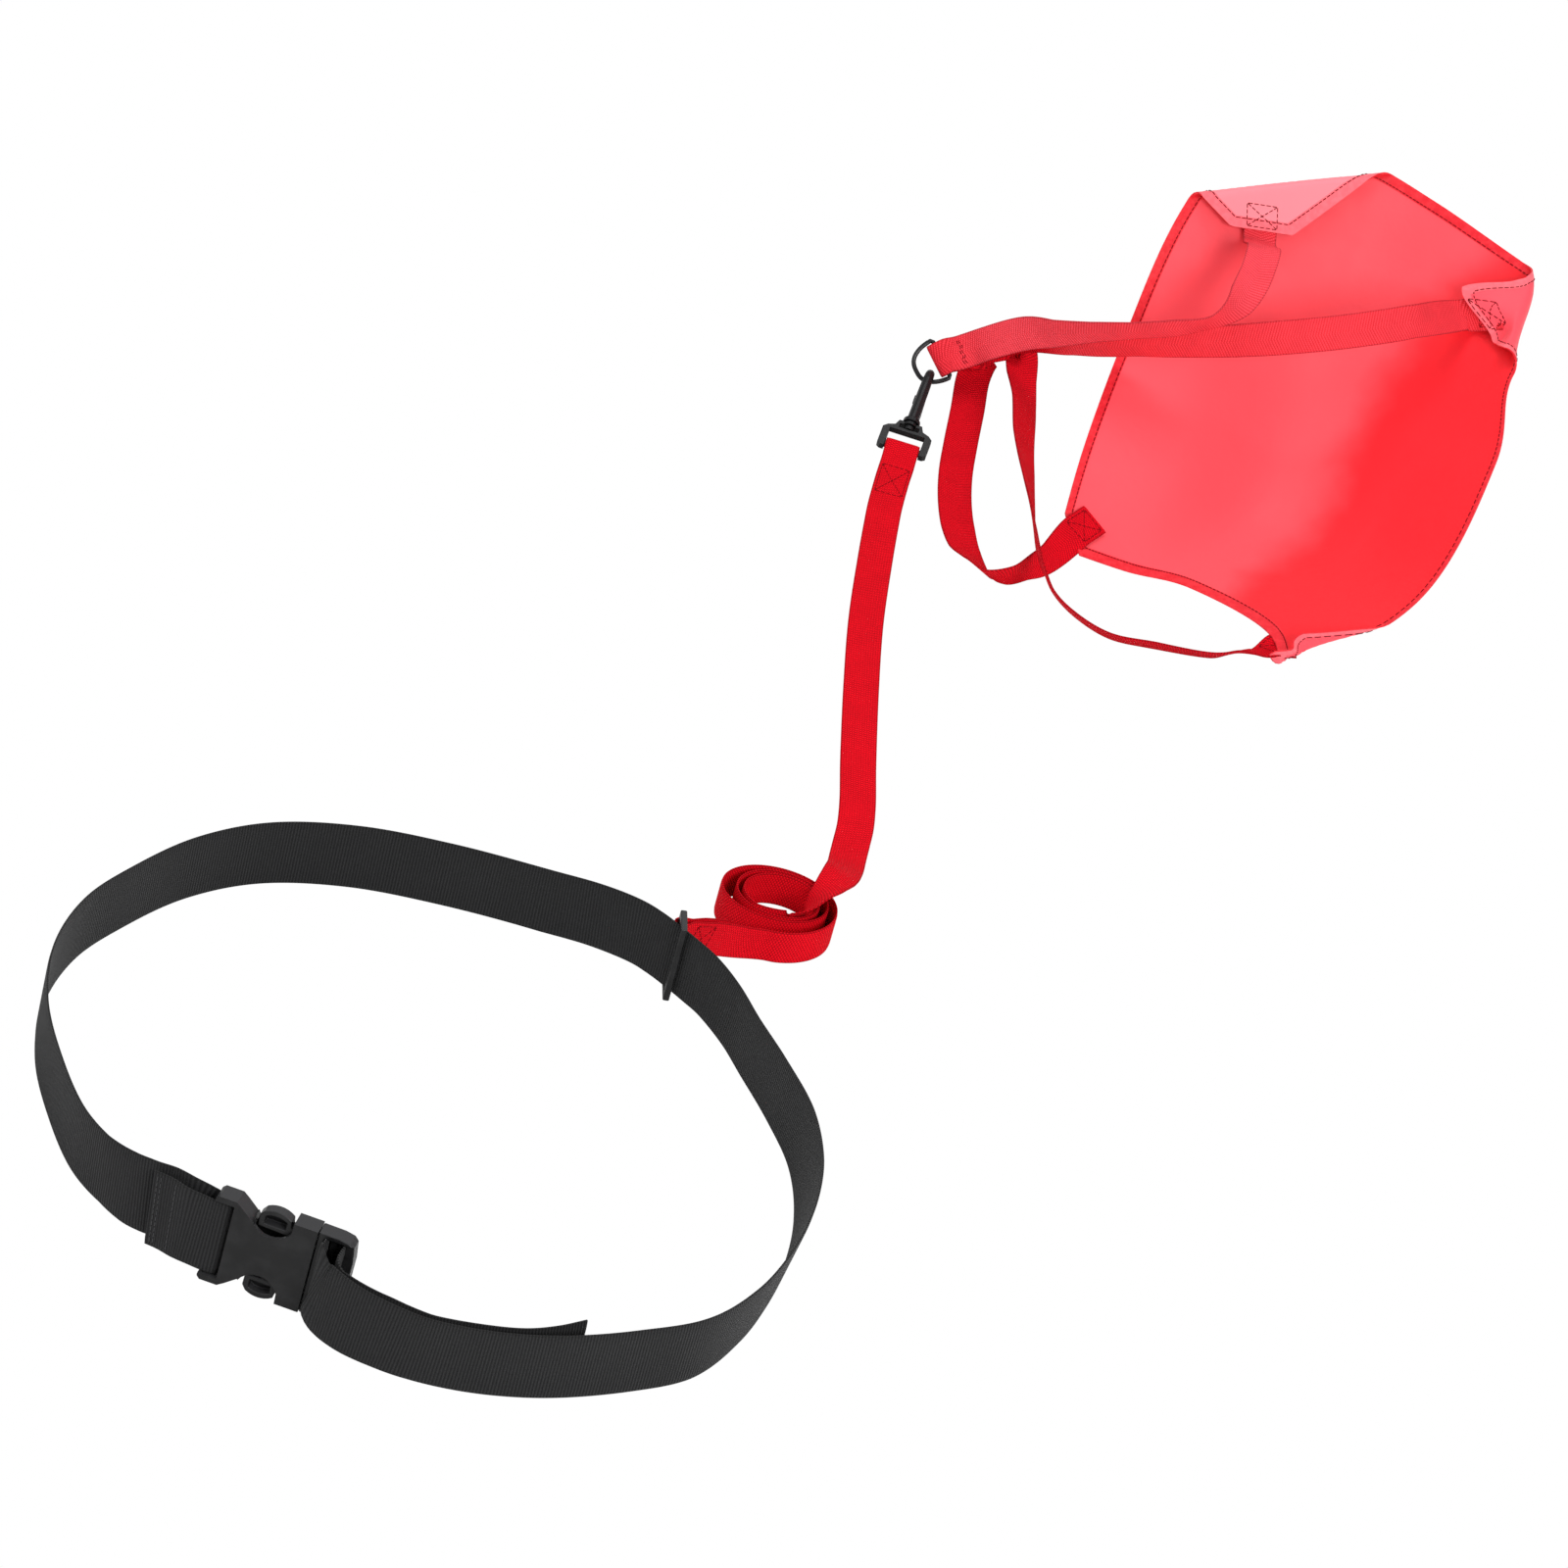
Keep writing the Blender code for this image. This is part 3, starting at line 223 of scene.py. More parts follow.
def buckle_frame():
    turn = math.radians(BUCKLE_TURN)
    along = Vector((math.cos(turn), math.sin(turn), 0.0))
    inward = Vector((-math.sin(turn), math.cos(turn), 0.0))
    lean = math.radians(BUCKLE_LEAN)
    up = inward * math.sin(lean) + Vector((0.0, 0.0, math.cos(lean)))
    return placed(along, up.cross(along), up, Vector(BUCKLE_PLACE))


def hook_frame():
    start = Vector(HOOK_BAR)
    along = (Vector(HOOK_NOSE) - start).normalized()
    side = along.cross(Vector((0.0, 0.0, 1.0))).normalized()
    return placed(along, -side, side.cross(along), start)


def dee_point(angle):
    """Point of the ring's wire in its own plane, with the straight bar along X."""
    x = DEE_HALF * math.copysign(abs(math.cos(angle)) ** DEE_ROUNDNESS, math.cos(angle))
    return Vector((x, 0.0, DEE_DEPTH * math.sin(angle)))


def dee_frame(hook):
    """The ring lies square to the line of sight, its bar at a slant and its bow in the hook's bowl."""
    bar = Vector(DEE_BAR_WAY).normalized()
    bow = Vector(DEE_BOW_WAY)
    bow = (bow - bar * bow.dot(bar)).normalized()
    rest = BOWL_RADIUS - HOOK_WIRE - WIRE - FIT_GAP
    touch = Vector((BOWL_CENTRE[0] + rest * BOWL_TOUCH[0], 0.0, BOWL_CENTRE[1] + rest * BOWL_TOUCH[1]))
    contact = dee_point(DEE_CONTACT)
    return placed(bar, -bar.cross(bow), bow, hook @ touch - (bar * contact.x + bow * contact.z))


# Shader building

class Value:
    """A number or colour in a shader. The usual signs add the nodes that work it out."""

    def __init__(self, tree, socket):
        self.tree = tree
        self.socket = socket

    def calc(self, kind, second=0.0):
        node = self.tree.nodes.new("ShaderNodeMath")
        node.operation = kind
        feed(node.inputs[0], self)
        feed(node.inputs[1], second)
        return Value(self.tree, node.outputs[0])

    def __add__(self, other):
        return self.calc("ADD", other)

    def __sub__(self, other):
        return self.calc("SUBTRACT", other)

    def __mul__(self, other):
        return self.calc("MULTIPLY", other)

    def rise(self, low, high):
        """0 at low and 1 at high, with a smooth step between."""
        node = self.tree.nodes.new("ShaderNodeMapRange")
        node.interpolation_type = "SMOOTHSTEP"
        node.inputs["From Min"].default_value = low
        node.inputs["From Max"].default_value = high
        feed(node.inputs["Value"], self)
        return Value(self.tree, node.outputs["Result"])

    def blend(self, first, second):
        """The first colour at 0 and the second at 1."""
        node = self.tree.nodes.new("ShaderNodeMix")
        node.data_type = "RGBA"
        feed(node.inputs[0], self)
        for socket, value in ((node.inputs[6], first), (node.inputs[7], second)):
            feed(socket, (*value, 1.0) if isinstance(value, tuple) else value)
        return Value(self.tree, node.outputs[2])


def feed(socket, value):
    """Links a worked-out value to the socket, or sets a plain one."""
    if isinstance(value, Value):
        value.tree.links.new(value.socket, socket)
    else:
        socket.default_value = value


def mottle(tree, scale, detail):
    node = tree.nodes.new("ShaderNodeTexNoise")
    node.inputs["Scale"].default_value = scale
    node.inputs["Detail"].default_value = detail
    place = tree.nodes.new("ShaderNodeTexCoord")
    tree.links.new(place.outputs["Object"], node.inputs["Vector"])
    return Value(tree, node.outputs["Fac"])


def relief(tree, shader, height, depth, strength=1.0):
    node = tree.nodes.new("ShaderNodeBump")
    node.inputs["Strength"].default_value = strength
    node.inputs["Distance"].default_value = depth
    feed(node.inputs["Height"], height)
    tree.links.new(node.outputs["Normal"], shader.inputs["Normal"])


def new_material(name, colour, roughness, specular, sheen=0.0):
    material = bpy.data.materials.new(name)
    material.use_nodes = True
    tree = material.node_tree
    shader = tree.nodes["Principled BSDF"]
    settings = {"Base Color": (*colour, 1.0), "Roughness": roughness, "Specular IOR Level": specular,
                "Sheen Weight": sheen, "Sheen Roughness": 0.5}
    for key, value in settings.items():
        shader.inputs[key].default_value = value
    return material, tree, shader


def weave_lines(tree):
    """Metres across and along the flat cloth."""
    node = tree.nodes.new("ShaderNodeUVMap")
    node.uv_map = "weave"
    split = tree.nodes.new("ShaderNodeSeparateXYZ")
    tree.links.new(node.outputs["UV"], split.inputs[0])
    return Value(tree, split.outputs[0]), Value(tree, split.outputs[1])


def webbing_material(name, light, dark, weave, width, surface, painted_highlight=None):
    """Ribs run across the webbing; each cord shifts them a little, first one way, then the other.
    painted_highlight is (colour, from, to): a paler colour painted on as a highlight, which ends between
    two distances along it, in metres."""
    rib, cord, lean, band, breaks = weave
    roughness, specular, sheen, depth = surface
    material, tree, shader = new_material(name, light, roughness, specular, sheen)
    across, along = weave_lines(tree)
    column = across.calc("DIVIDE", cord * MM)
    slant = column.calc("FLOOR").calc("PINGPONG", band) * lean
    phase = along.calc("DIVIDE", rib * MM) + slant
    wave = (phase * (2 * math.pi)).calc("SINE") * 0.5 + 0.5
    ridge = (column * math.pi).calc("SINE").calc("ABSOLUTE")
    height = wave * (ridge * breaks + (1 - breaks))
    uneven = mottle(tree, 900.0, 2.0)
    share = height * 0.75 + uneven * 0.35
    weave_and_painted_highlight = share.blend(dark, light)
    # Painted highlight: a paler colour along the first stretch of the webbing, fading out between start and
    # end.
    if painted_highlight:
        colour, start, end = painted_highlight
        hollow = tuple(c * part for c, part in zip(colour, (0.62, 0.14, 0.16)))
        weave_and_painted_highlight = along.rise(start, end).blend(share.blend(hollow, colour), weave_and_painted_highlight)
    # Painted shade: the colour darkens within about a millimetre of each edge; the patchy noise is random
    # tone.
    rim = across.calc("ABSOLUTE").rise((width / 2 - 1.1) * MM, (width / 2 - 0.5) * MM)
    tone_and_edge_shade = (mottle(tree, 45.0, 4.0) * 0.30 + 0.85) * (rim * -0.35 + 1.0)
    scaled = tree.nodes.new("ShaderNodeVectorMath")
    scaled.operation = "SCALE"
    feed(scaled.inputs[0], weave_and_painted_highlight)
    feed(scaled.inputs["Scale"], tone_and_edge_shade)
    tree.links.new(scaled.outputs[0], shader.inputs["Base Color"])
    relief(tree, shader, uneven * 0.4 + height, depth * MM)
    return material


def hem_share(across, along):
    """1 on the hem and 0 on the rest of the flat cloth."""
    side = CANOPY_SIDE * MM
    from_p = across.calc("MINIMUM", across * -1.0 + (side + (HEM_WIDTH - THIN_HEM) * MM))
    from_q = along.calc("MINIMUM", along * -1.0 + side)
    from_cut = (from_p + from_q - CORNER_CUT * MM) * math.sqrt(0.5)
    near = from_p.calc("MINIMUM", from_q).calc("MINIMUM", from_cut)
    return near.rise(HEM_WIDTH * MM, (HEM_WIDTH - 0.8) * MM)


def cloth_material(name, light, deep, hem, line):
    """Coated nylon: a fine even weave, soft creases and a hem of another colour. Painted lit (light) and
    shaded (deep) copies of its colour meet along line, a pair of points on the flat cloth in millimetres."""
    material, tree, shader = new_material(name, light, 0.5, 0.25, 0.12)
    across, along = weave_lines(tree)
    turns = 2 * math.pi / (0.7 * MM)
    grid = (across * turns).calc("SINE") * (along * turns).calc("SINE")
    soft = mottle(tree, 14.0, 3.0)
    crumple = mottle(tree, 70.0, 4.0)
    fold = mottle(tree, 260.0, 2.0)
    (ax, ay), (bx, by) = line
    size = math.hypot(bx - ax, by - ay)
    nx = (by - ay) / size
    ny = (ax - bx) / size
    # Painted light: the light colour, with its painted sheen, on one side of line and the deep colour on
    # the other stand in for light and shade on the cloth.
    past = across * nx + along * ny - (ax * nx + ay * ny) * MM + (soft - 0.5) * 0.06
    body = past.rise(-0.022, 0.022).blend(light, deep)
    turned = hem_share(across, along)
    paler = tuple(min(1.0, c * 1.12 + 0.012) for c in hem)
    rim = fold.rise(0.35, 0.7).blend(hem, paler)
    feed(shader.inputs["Base Color"], turned.blend(body, rim))
    feed(shader.inputs["Roughness"], crumple * 0.25 + 0.38)
    relief(tree, shader, grid * 0.03 + crumple + turned * fold * 0.35, 1.2 * MM, 0.5)
    return material


def round_edges(tree, shader, radius):
    """Lets sharp edges catch the light as if they were rounded."""
    node = tree.nodes.new("ShaderNodeBevel")
    node.inputs["Radius"].default_value = radius * MM
    bump = shader.inputs["Normal"].links[0].from_node
    tree.links.new(node.outputs[0], bump.inputs["Normal"])


def plastic_material(name, colour, roughness):
    """Moulded plastic with painted light: paler where it faces up, as if lit from above."""
    material, tree, shader = new_material(name, colour, roughness, 0.22)
    fine = mottle(tree, 2200.0, 2.0)
    cloudy = mottle(tree, 60.0, 4.0)
    feed(shader.inputs["Roughness"], cloudy * 0.2 + (roughness - 0.1))
    facing = tree.nodes.new("ShaderNodeSeparateXYZ")
    tree.links.new(tree.nodes.new("ShaderNodeTexCoord").outputs["Normal"], facing.inputs[0])
    paler = tuple(min(1.0, c * 1.7 + 0.004) for c in colour)
    painted_top_light = tuple(c * 5.0 for c in colour)
    matt = cloudy.rise(0.4, 0.75).blend(colour, paler)
    up = Value(tree, facing.outputs[2])
    # Painted light: faces that point up blend to a paler colour, standing in for light falling from above.
    feed(shader.inputs["Base Color"], up.rise(0.35, 0.95).blend(matt, painted_top_light))
    relief(tree, shader, fine, 0.08 * MM, 0.6)
    round_edges(tree, shader, 0.5)
    return material


def metal_material(name, colour):
    """Dark wire, scuffed to grey in spots."""
    material, tree, shader = new_material(name, colour, 0.35, 0.4)
    shader.inputs["Metallic"].default_value = 0.35
    scuffs = mottle(tree, 320.0, 5.0)
    feed(shader.inputs["Roughness"], scuffs * 0.35 + 0.18)
    feed(shader.inputs["Base Color"], scuffs.rise(0.55, 0.8).blend(colour, (0.06, 0.06, 0.065)))
    relief(tree, shader, scuffs, 0.05 * MM, 0.5)
    return material


# Meshes

def world(point):
    return (Vector(point) + SHIFT) * MM


def add_object(name, data):
    thing = bpy.data.objects.new(name, data)
    bpy.context.scene.collection.objects.link(thing)
    return thing


def add_mesh(name, points, faces, materials, uv=None, kinds=None):
    """Points in layout millimetres; uv gives each point's metres on the flat cloth."""
    mesh = bpy.data.meshes.new(name)
    mesh.from_pydata([world(p) for p in points], [], faces)
    for material in materials:
        mesh.materials.append(material)
    for face in mesh.polygons:
        face.use_smooth = True
    if kinds:
        mesh.polygons.foreach_set("material_index", kinds)
    if uv:
        layer = mesh.uv_layers.new(name="weave")
        for loop in mesh.loops:
            layer.data[loop.index].uv = uv[loop.vertex_index]
    mesh.update()
    return add_object(name, mesh)


def tube_faces(rings, sides):
    """Faces of a closed tube whose rings have so many points each."""
    faces = [tuple(range(sides))]
    for i in range(rings - 1):
        for k in range(sides):
            a = sides * i + k
            b = sides * i + (k + 1) % sides
            faces.append((a, b, b + sides, a + sides))
    end = sides * (rings - 1)
    faces.append(tuple(reversed(range(end, end + sides))))
    return faces


def ribbon(name, stations, width, thick, material):
    """A webbing with a soft rounded edge. Nothing reaches under the floor at z = 0."""
    section = [(w, 1.0 - 0.45 * abs(w) ** 14) for w in (-1 + 2 * k / 12 for k in range(13))]
    loop = section + [(w, -h) for w, h in reversed(section)]
    points = []
    uv = []
    for centre, along, across, travelled in stations:
        face = along.cross(across)
        for w, h in loop:
            point = centre + across * (w * width / 2) + face * (h * thick / 2)
            point.z = max(point.z, 0.0)
            points.append(point)
            uv.append((w * width / 2 * MM, travelled * MM))
    thing = add_mesh(name, points, tube_faces(len(stations), len(loop)), [material], uv)
    face_out(thing)
    return thing


def face_out(thing):
    """Turns the faces outwards and keeps sharp corners sharp."""
    work = bmesh.new()
    work.from_mesh(thing.data)
    bmesh.ops.recalc_face_normals(work, faces=work.faces)
    for edge in work.edges:
        if len(edge.link_faces) == 2 and edge.calc_face_angle() > math.radians(50):
            edge.smooth = False
    work.to_mesh(thing.data)
    work.free()


# Stitching

def on_ribbon(stations, travelled, w, side, thick):
    """Point and outward direction on a webbing's face."""
    last = len(stations) - 1
    high = bisect.bisect_right(stations, travelled, 1, last, key=lambda s: s[3])
    a = stations[high - 1]
    b = stations[high]
    f = min(max((travelled - a[3]) / max(b[3] - a[3], 1e-6), 0.0), 1.0)
    along = a[1].lerp(b[1], f).normalized()
    across = a[2].lerp(b[2], f).normalized()
    outward = along.cross(across) * side
    return a[0].lerp(b[0], f) + across * w + outward * (thick / 2), outward


def along_at(stations, spot):
    """How far along the webbing the station nearest to a spot lies."""
    spot = Vector(spot)
    return min(stations, key=lambda s: (s[0] - spot).length)[3]


def stitch_shape(points, outward, radius):
    """One stitch: a short thread that dips into the cloth at both ends."""
    found = []
    count = len(points)
    for i, centre in enumerate(points):
        along = (points[min(i + 1, count - 1)] - points[max(i - 1, 0)]).normalized()
        side = along.cross(outward[i]).normalized()
        up = side.cross(along)
        sink = radius * 0.9 if i in (0, count - 1) else -radius * 0.35
        size = radius * (0.45 if i in (0, count - 1) else 1.0)
        for k in range(THREAD_SIDES):
            angle = 2 * math.pi * k / THREAD_SIDES
            found.append(centre - outward[i] * sink + side * math.cos(angle) * size
                         + up * math.sin(angle) * size)
    return found, tube_faces(count, THREAD_SIDES)


class Sewing:
    """Collects stitches and makes them one mesh."""

    def __init__(self, radius):
        self.radius = radius
        self.points = []
        self.faces = []

    def seam(self, place, length):
        """place(distance) gives a point and an outward direction along the seam."""
        count = max(1, round(length / (STITCH + STITCH_GAP)))
        step = length / count
        for i in range(count):
            first = i * step + STITCH_GAP / 2
            spots = [place(first + (step - STITCH_GAP) * f) for f in (0.0, 0.18, 0.5, 0.82, 1.0)]
            found, faces = stitch_shape(*zip(*spots), self.radius)
            start = len(self.points)
            self.points += found
            self.faces += [tuple(v + start for v in face) for face in faces]

    def line(self, a, b, spot):
        """A straight seam from a to b; spot turns such a pair into a point and an outward direction."""
        length = math.hypot(b[0] - a[0], b[1] - a[1])

        def place(distance):
            f = distance / length
            return spot(a[0] + (b[0] - a[0]) * f, a[1] + (b[1] - a[1]) * f)

        self.seam(place, length)

    def crossed_box(self, first, last, half, spot):
        """A sewn rectangle with a cross in it."""
        corners = ((first, -half), (last, -half), (last, half), (first, half))
        for i in range(4):
            self.line(corners[i], corners[(i + 1) % 4], spot)
        for i in range(2):
            self.line(corners[i], corners[i + 2], spot)

    def strap_box(self, stations, first, last, half=BOX_HALF):
        """The crossed box on both faces of a strap."""
        for side in (1, -1):
            self.crossed_box(first, last, half, lambda t, w: on_ribbon(stations, t, w, side, STRAP_THICK))

    def across_belt(self, stations, rows):
        """Seams from edge to edge of the belt, on both faces."""
        for row in rows:
            for side in (1, -1):
                self.line((row, -BELT_SEAM / 2), (row, BELT_SEAM / 2),
                          lambda t, w: on_ribbon(stations, t, w, side, BELT_THICK))

    def finish(self, name, material):
        return add_mesh(name, self.points, self.faces, [material])


# Belt: where it is cut in two, and where its front length starts and ends

BELT_CUT = (200.0, 78.0)
BEND_START = (226.0, 36.0, 25.0)
BEND_END = (20.0, -235.0, 25.0)


def on_buckle(buckle, spots):
    """Rows at (along, back, up) places of the buckle, leaning with it."""
    lean = buckle.to_3x3() @ Vector((0.0, 0.0, 1.0))
    return [(buckle @ Vector(spot), lean) for spot in spots]


def on_edge(spots, tilt=(0.0, 0.0)):
    """Rows at places of the layout, where the webbing stands on edge or tilts a little."""
    return [(spot, (*tilt, 1.0)) for spot in spots]


def round_bar(middle, radius, first, step, count):
    """Places round one of the buckle's bars, at angles in degrees."""
    angles = [math.radians(first + step * i) for i in range(count)]
    return [(middle + radius * math.cos(a), radius * math.sin(a), 0.0) for a in angles]


def socket_rows(buckle):
    """The sewn end, round the socket's bar, and the belt laid over the end."""
    rows = on_edge([(-138, -191, 28.6), (-128, -195, 30.2)], (0.02, 0.16))
    rows += on_buckle(buckle, [(-17, -2.8, 0.4), (-8, -3.7, 0.2), (1, -SOCKET_WRAP, 0)])
    rows += on_buckle(buckle, round_bar(SOCKET_BAR[1] - SOCKET_BAR_HALF, SOCKET_WRAP, -90, 45, 5))
    rows += on_buckle(buckle, [(1, SOCKET_WRAP, 0), (-8, 3.6, 3.2), (-16, 4.2, 4.4)])
    rows += on_edge([(-128, -188, 32.6), (-141, -184.6, 30.6)], (0.02, 0.16))
    rows += on_edge([(-154, -179, 28.3)], (0.01, 0.12))
    return rows


def waist_rows():
    """Round the waist, through the loop that carries the tether."""
    rows = on_edge([(-172, -167, 26.5), (-193, -146, 25.2), (-217.5, -106, 25), (-239, -57, 25),
                    (-248, -4, 25), (-241, 46, 25), (-221, 88, 25), (-190, 134, 25), (-150, 168, 25),
                    (-96, 189, 25), (-35, 197, 25), (30, 198, 25), (64, 195, 27)])
    in_loop = ((92, 186.2), (106, 179.5), (118.5, 171.5), (131, 162.5), (144, 152.4))
    rows += on_edge([(x, y, RING_HEIGHT / 2) for x, y in in_loop])
    rows += on_edge([(163, 134, 27), (181, 109, 25)])
    for x, y, tilt in ((204, 75, (0.04, 0)), (226, 36, (0.10, 0)), (238, -8, (0.15, 0)),
                       (240, -50, (0.16, 0)), (235, -92, (0.14, 0)), (222, -137, (0.10, -0.03)),
                       (199, -177, (0.04, 0))):
        rows += on_edge([(x, y, 25)], tilt)
    rows += on_edge([(163, -204, 25), (118, -228, 25), (76, -241, 25.2), (38, -246.5, 27)])
    return rows


def plug_rows(buckle):
    """Up to the plug, round its outer bar, and back along the belt as a free tail."""
    end = buckle @ Vector((PLUG_END, 0, 0))
    near, far = PLUG_BAR
    rows = []
    for x, y, z, tilt in ((26, -36.3, 29.5, (0, 0.05)), (7, -32.3, 30.8, (0.01, 0.10)),
                          (-6, -25.8, 31.2, (0.015, 0.14)), (-15, -18.3, 31.2, (0.015, 0.14))):
        rows += on_edge([(end.x + x, end.y + y, z)], tilt)
    rows += on_buckle(buckle, [(near - 1.7, -13.5, 0), (near - 3.1, -9.7, 0), (near - 2, -6.3, 0),
                               (near - 1.4, -3, 0)])
    rows += on_buckle(buckle, round_bar((near + far) / 2, PLUG_WRAP, 180, -45, 3))
    rows += on_buckle(buckle, [(far + 2.2, PLUG_WRAP, 0), (far + 4.6, 2.6, 0), (far + 5.2, -1, -0.4),
                               (far + 5, -7, -1.2), (far + 4.9, -13, -2), (far + 6.9, -18.8, -3),
                               (far + 10.9, -23.2, -4), (far + 23.4, -27.7, -5),
                               (far + 42.2, -29.5, -6.5)])
    rows += on_edge([(41, -242.8, 26.8), (76, -236.2, 25.2), (98, -229.6, 25), (115, -220, 25),
                     (130, -208.5, 25.3)])
    return rows


def make_belt(buckle, fabric, thread):
    """The belt in two lengths that meet flush."""
    stations = route(socket_rows(buckle) + waist_rows() + plug_rows(buckle))
    cut = next(i for i, s in enumerate(stations) if s[0].x > BELT_CUT[0] and s[0].y < BELT_CUT[1])
    loop = ribbon("belt_loop", stations[:cut + 1], BELT_WIDTH, BELT_THICK, fabric)
    front = ribbon("belt_front", stations[cut:], BELT_WIDTH, BELT_THICK, fabric)
    end = stations[-1][3]
    split = stations[cut][3]
    sewing = Sewing(BELT_THREAD)
    sewing.across_belt(stations, (3.0, 5.4, 16.0))
    rows = sewing.finish("belt_end_stitches", thread)
    sewing = Sewing(BELT_THREAD)
    sewing.across_belt(stations, (end - 3.0, end - 9.0))
    tail = sewing.finish("belt_tail_stitches", thread)
    for thing in (loop, rows):
        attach(thing, "belt")
    for thing in (front, tail):
        world(BEND_START)
        world(BEND_END)
        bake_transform(thing)
    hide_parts("belt_webbing")
    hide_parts("belt_webbing")
    split * MM
    (end - split) * MM


# Tether: the middle and the half sizes of its coil, at whole turns

COIL_X = (171, 172.5, 174, 174)
COIL_Y = (265, 270, 270.5, 271)
COIL_HALF_X = (43, 35, 27, 23.5)
COIL_HALF_Y = (34.5, 26.2, 22.6, 19)


def between(values, t):
    """Smooth value at turn t from values given at whole turns."""
    points = [Vector((v, i, 0.0)) for i, v in enumerate(values)]
    index = min(int(t), len(values) - 2)
    return spline(points, index, t - index).x


def coil_rows():
    rows = []
    for step in range(int(COIL_TURNS * COIL_STEPS) + 1):
        t = step / COIL_STEPS
        angle = 2 * math.pi * t - math.pi / 2
        x = between(COIL_X, t) + between(COIL_HALF_X, t) * math.cos(angle)
        y = between(COIL_Y, t) + between(COIL_HALF_Y, t) * math.sin(angle)
        rows += on_edge([(x, y, STRAP_WIDTH / 2)])
    return rows


def belt_loop_rows():
    """The tether's sewn end, round the outer bar of the belt's loop and down to the coil."""
    across = Vector((*RING_ACROSS, 0)).normalized()
    bar = Vector((*RING_PLACE, 0)) + across * (RING_DEPTH / 2 - RING_BAR / 2)
    rows = on_edge([(142, 212.5, 23.5), (131.5, 199.5, 31.5), (122.5, 189, 36.5)])
    for step in range(5):
        angle = math.radians(125 + 50.5 * step)
        rows += on_edge([(bar.x + RING_WRAP * math.cos(angle), bar.y + RING_WRAP * math.sin(angle), 39)])
    return rows + on_edge([(125, 185.8, 36.5), (134, 196.8, 31), (145, 210.6, 23), (158, 223, 15.5)])


def climb_rows():
    """Out of the coil, over its turns and down to the floor, from standing on edge to lying flat."""
    return [((184, 255.6, 14), (0, 0, 1)), ((188, 258.8, 17), (-0.27, -0.51, 0.81)),
            ((191.5, 262.2, 20.8), (-0.02, -0.68, 0.72)), ((195, 266.8, 25.4), (0.22, -0.85, 0.48)),
            ((199, 274, 29.5), (0.35, -0.86, 0.38)), ((203.5, 283, 31.2), (0.46, -0.84, 0.28)),
            ((207, 294, 31), (0.62, -0.76, 0.15)), ((209, 306, 28.5), (0.80, -0.55, 0.05)),
            ((210, 322, 20), (0.94, -0.3, 0)), ((210.5, 340, 10), (0.98, -0.15, 0)),
            ((210.5, 358, 4), (1, -0.08, 0)), ((210.5, 376, 1.4), (1, -0.05, 0))]


def floor_rows():
    """Flat along the floor, round the bar of the hook's eye and back under itself."""
    low = STRAP_THICK / 2
    spots = [(210.3, 396, low), (207.8, 422, low), (201.5, 465, low), (190, 553, low), (181.5, 630, low),
             (176.5, 705, low), (174.2, 750, low), (173.3, 772, low + 0.6), (173.2, 791, low + 2.1),
             (173.4, 811, low + 2.1), (174, 831, low + 4.6)]
    pull = Vector((0.03, 1, 0))
    for step in range(6):
        angle = math.radians(95 - 38 * step)
        point = Vector(HOOK_BAR) + pull * (EYE_WRAP * math.cos(angle))
        point.z += EYE_WRAP * math.sin(angle)
        spots.append(point)
    spots += [(174, 830, low + 0.2), (173.4, 811, low), (173.2, 792, low)]
    return [(spot, (1, -0.05, 0)) for spot in spots]


def make_tether(fabric, thread):
    stations = route(belt_loop_rows() + coil_rows() + climb_rows() + floor_rows())
    tether = ribbon("tether", stations, STRAP_WIDTH, STRAP_THICK, fabric)
    length = stations[-1][3]
    before_eye = along_at(stations[:-20], (173.3, 788.0, 2.9))
    sewing = Sewing(STRAP_THREAD)
    sewing.strap_box(stations, 4.0, 26.0)
    sewing.strap_box(stations, 67.0, 85.0)
    sewing.strap_box(stations, before_eye, before_eye + 34.0, 10.0)
    seams = sewing.finish("tether_stitches", thread)
    for thing in (tether, seams):
        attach(thing, "tether")
    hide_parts("tether_webbing")
    length * MM


# Canopy: a net of points 85 mm apart on the flat cloth, then three folded corners

NET = (
    ((298, 757, 18), (352, 772, 4), (400, 778, 1), (460, 738, 8), (474, 684, 4)),
    ((300, 850, 47), (365, 854, 35), (435, 881, 5), (508, 846, 21), (559, 788, 39)),
    ((309, 945, 90), (384, 954, 76), (459, 964, 56), (531, 928, 77), (588, 883, 104)),
    ((322, 1005, 156), (406, 1018, 141), (481, 1023, 122), (550, 987, 131), (586, 946, 144)),
    ((352, 1070, 218), (438, 1074, 208), (505, 1064, 194), (590, 1033, 178), (627, 1018, 182)),
)
NET_STEP = CANOPY_SIDE / 4

# Folds: the two ends of the line, its radius, the degrees turned, and how much the flap slides sideways
FOLDS = (
    ((0, 270), (128, 340), 5, 180, -0.4),
    ((234, 340), (340, 250), 7, 172, 0.6),
    ((304, 0), (340, 64), 3, 80, 0),
)

# Pulls: a point of the flat cloth, how far round it the cloth follows, and which way it is pulled
PULLS = (
    ((340, 312), 34, (19, -1, -3)),
    ((312, 340), 34, (-10, 2, 2)),
    ((340, 28), 36, (-22, -7, -8)),
    ((312, 0), 14, (-10.5, 0.5, 0.5)),
    ((304, 0), 12, (4, 0, -0.5)),
)


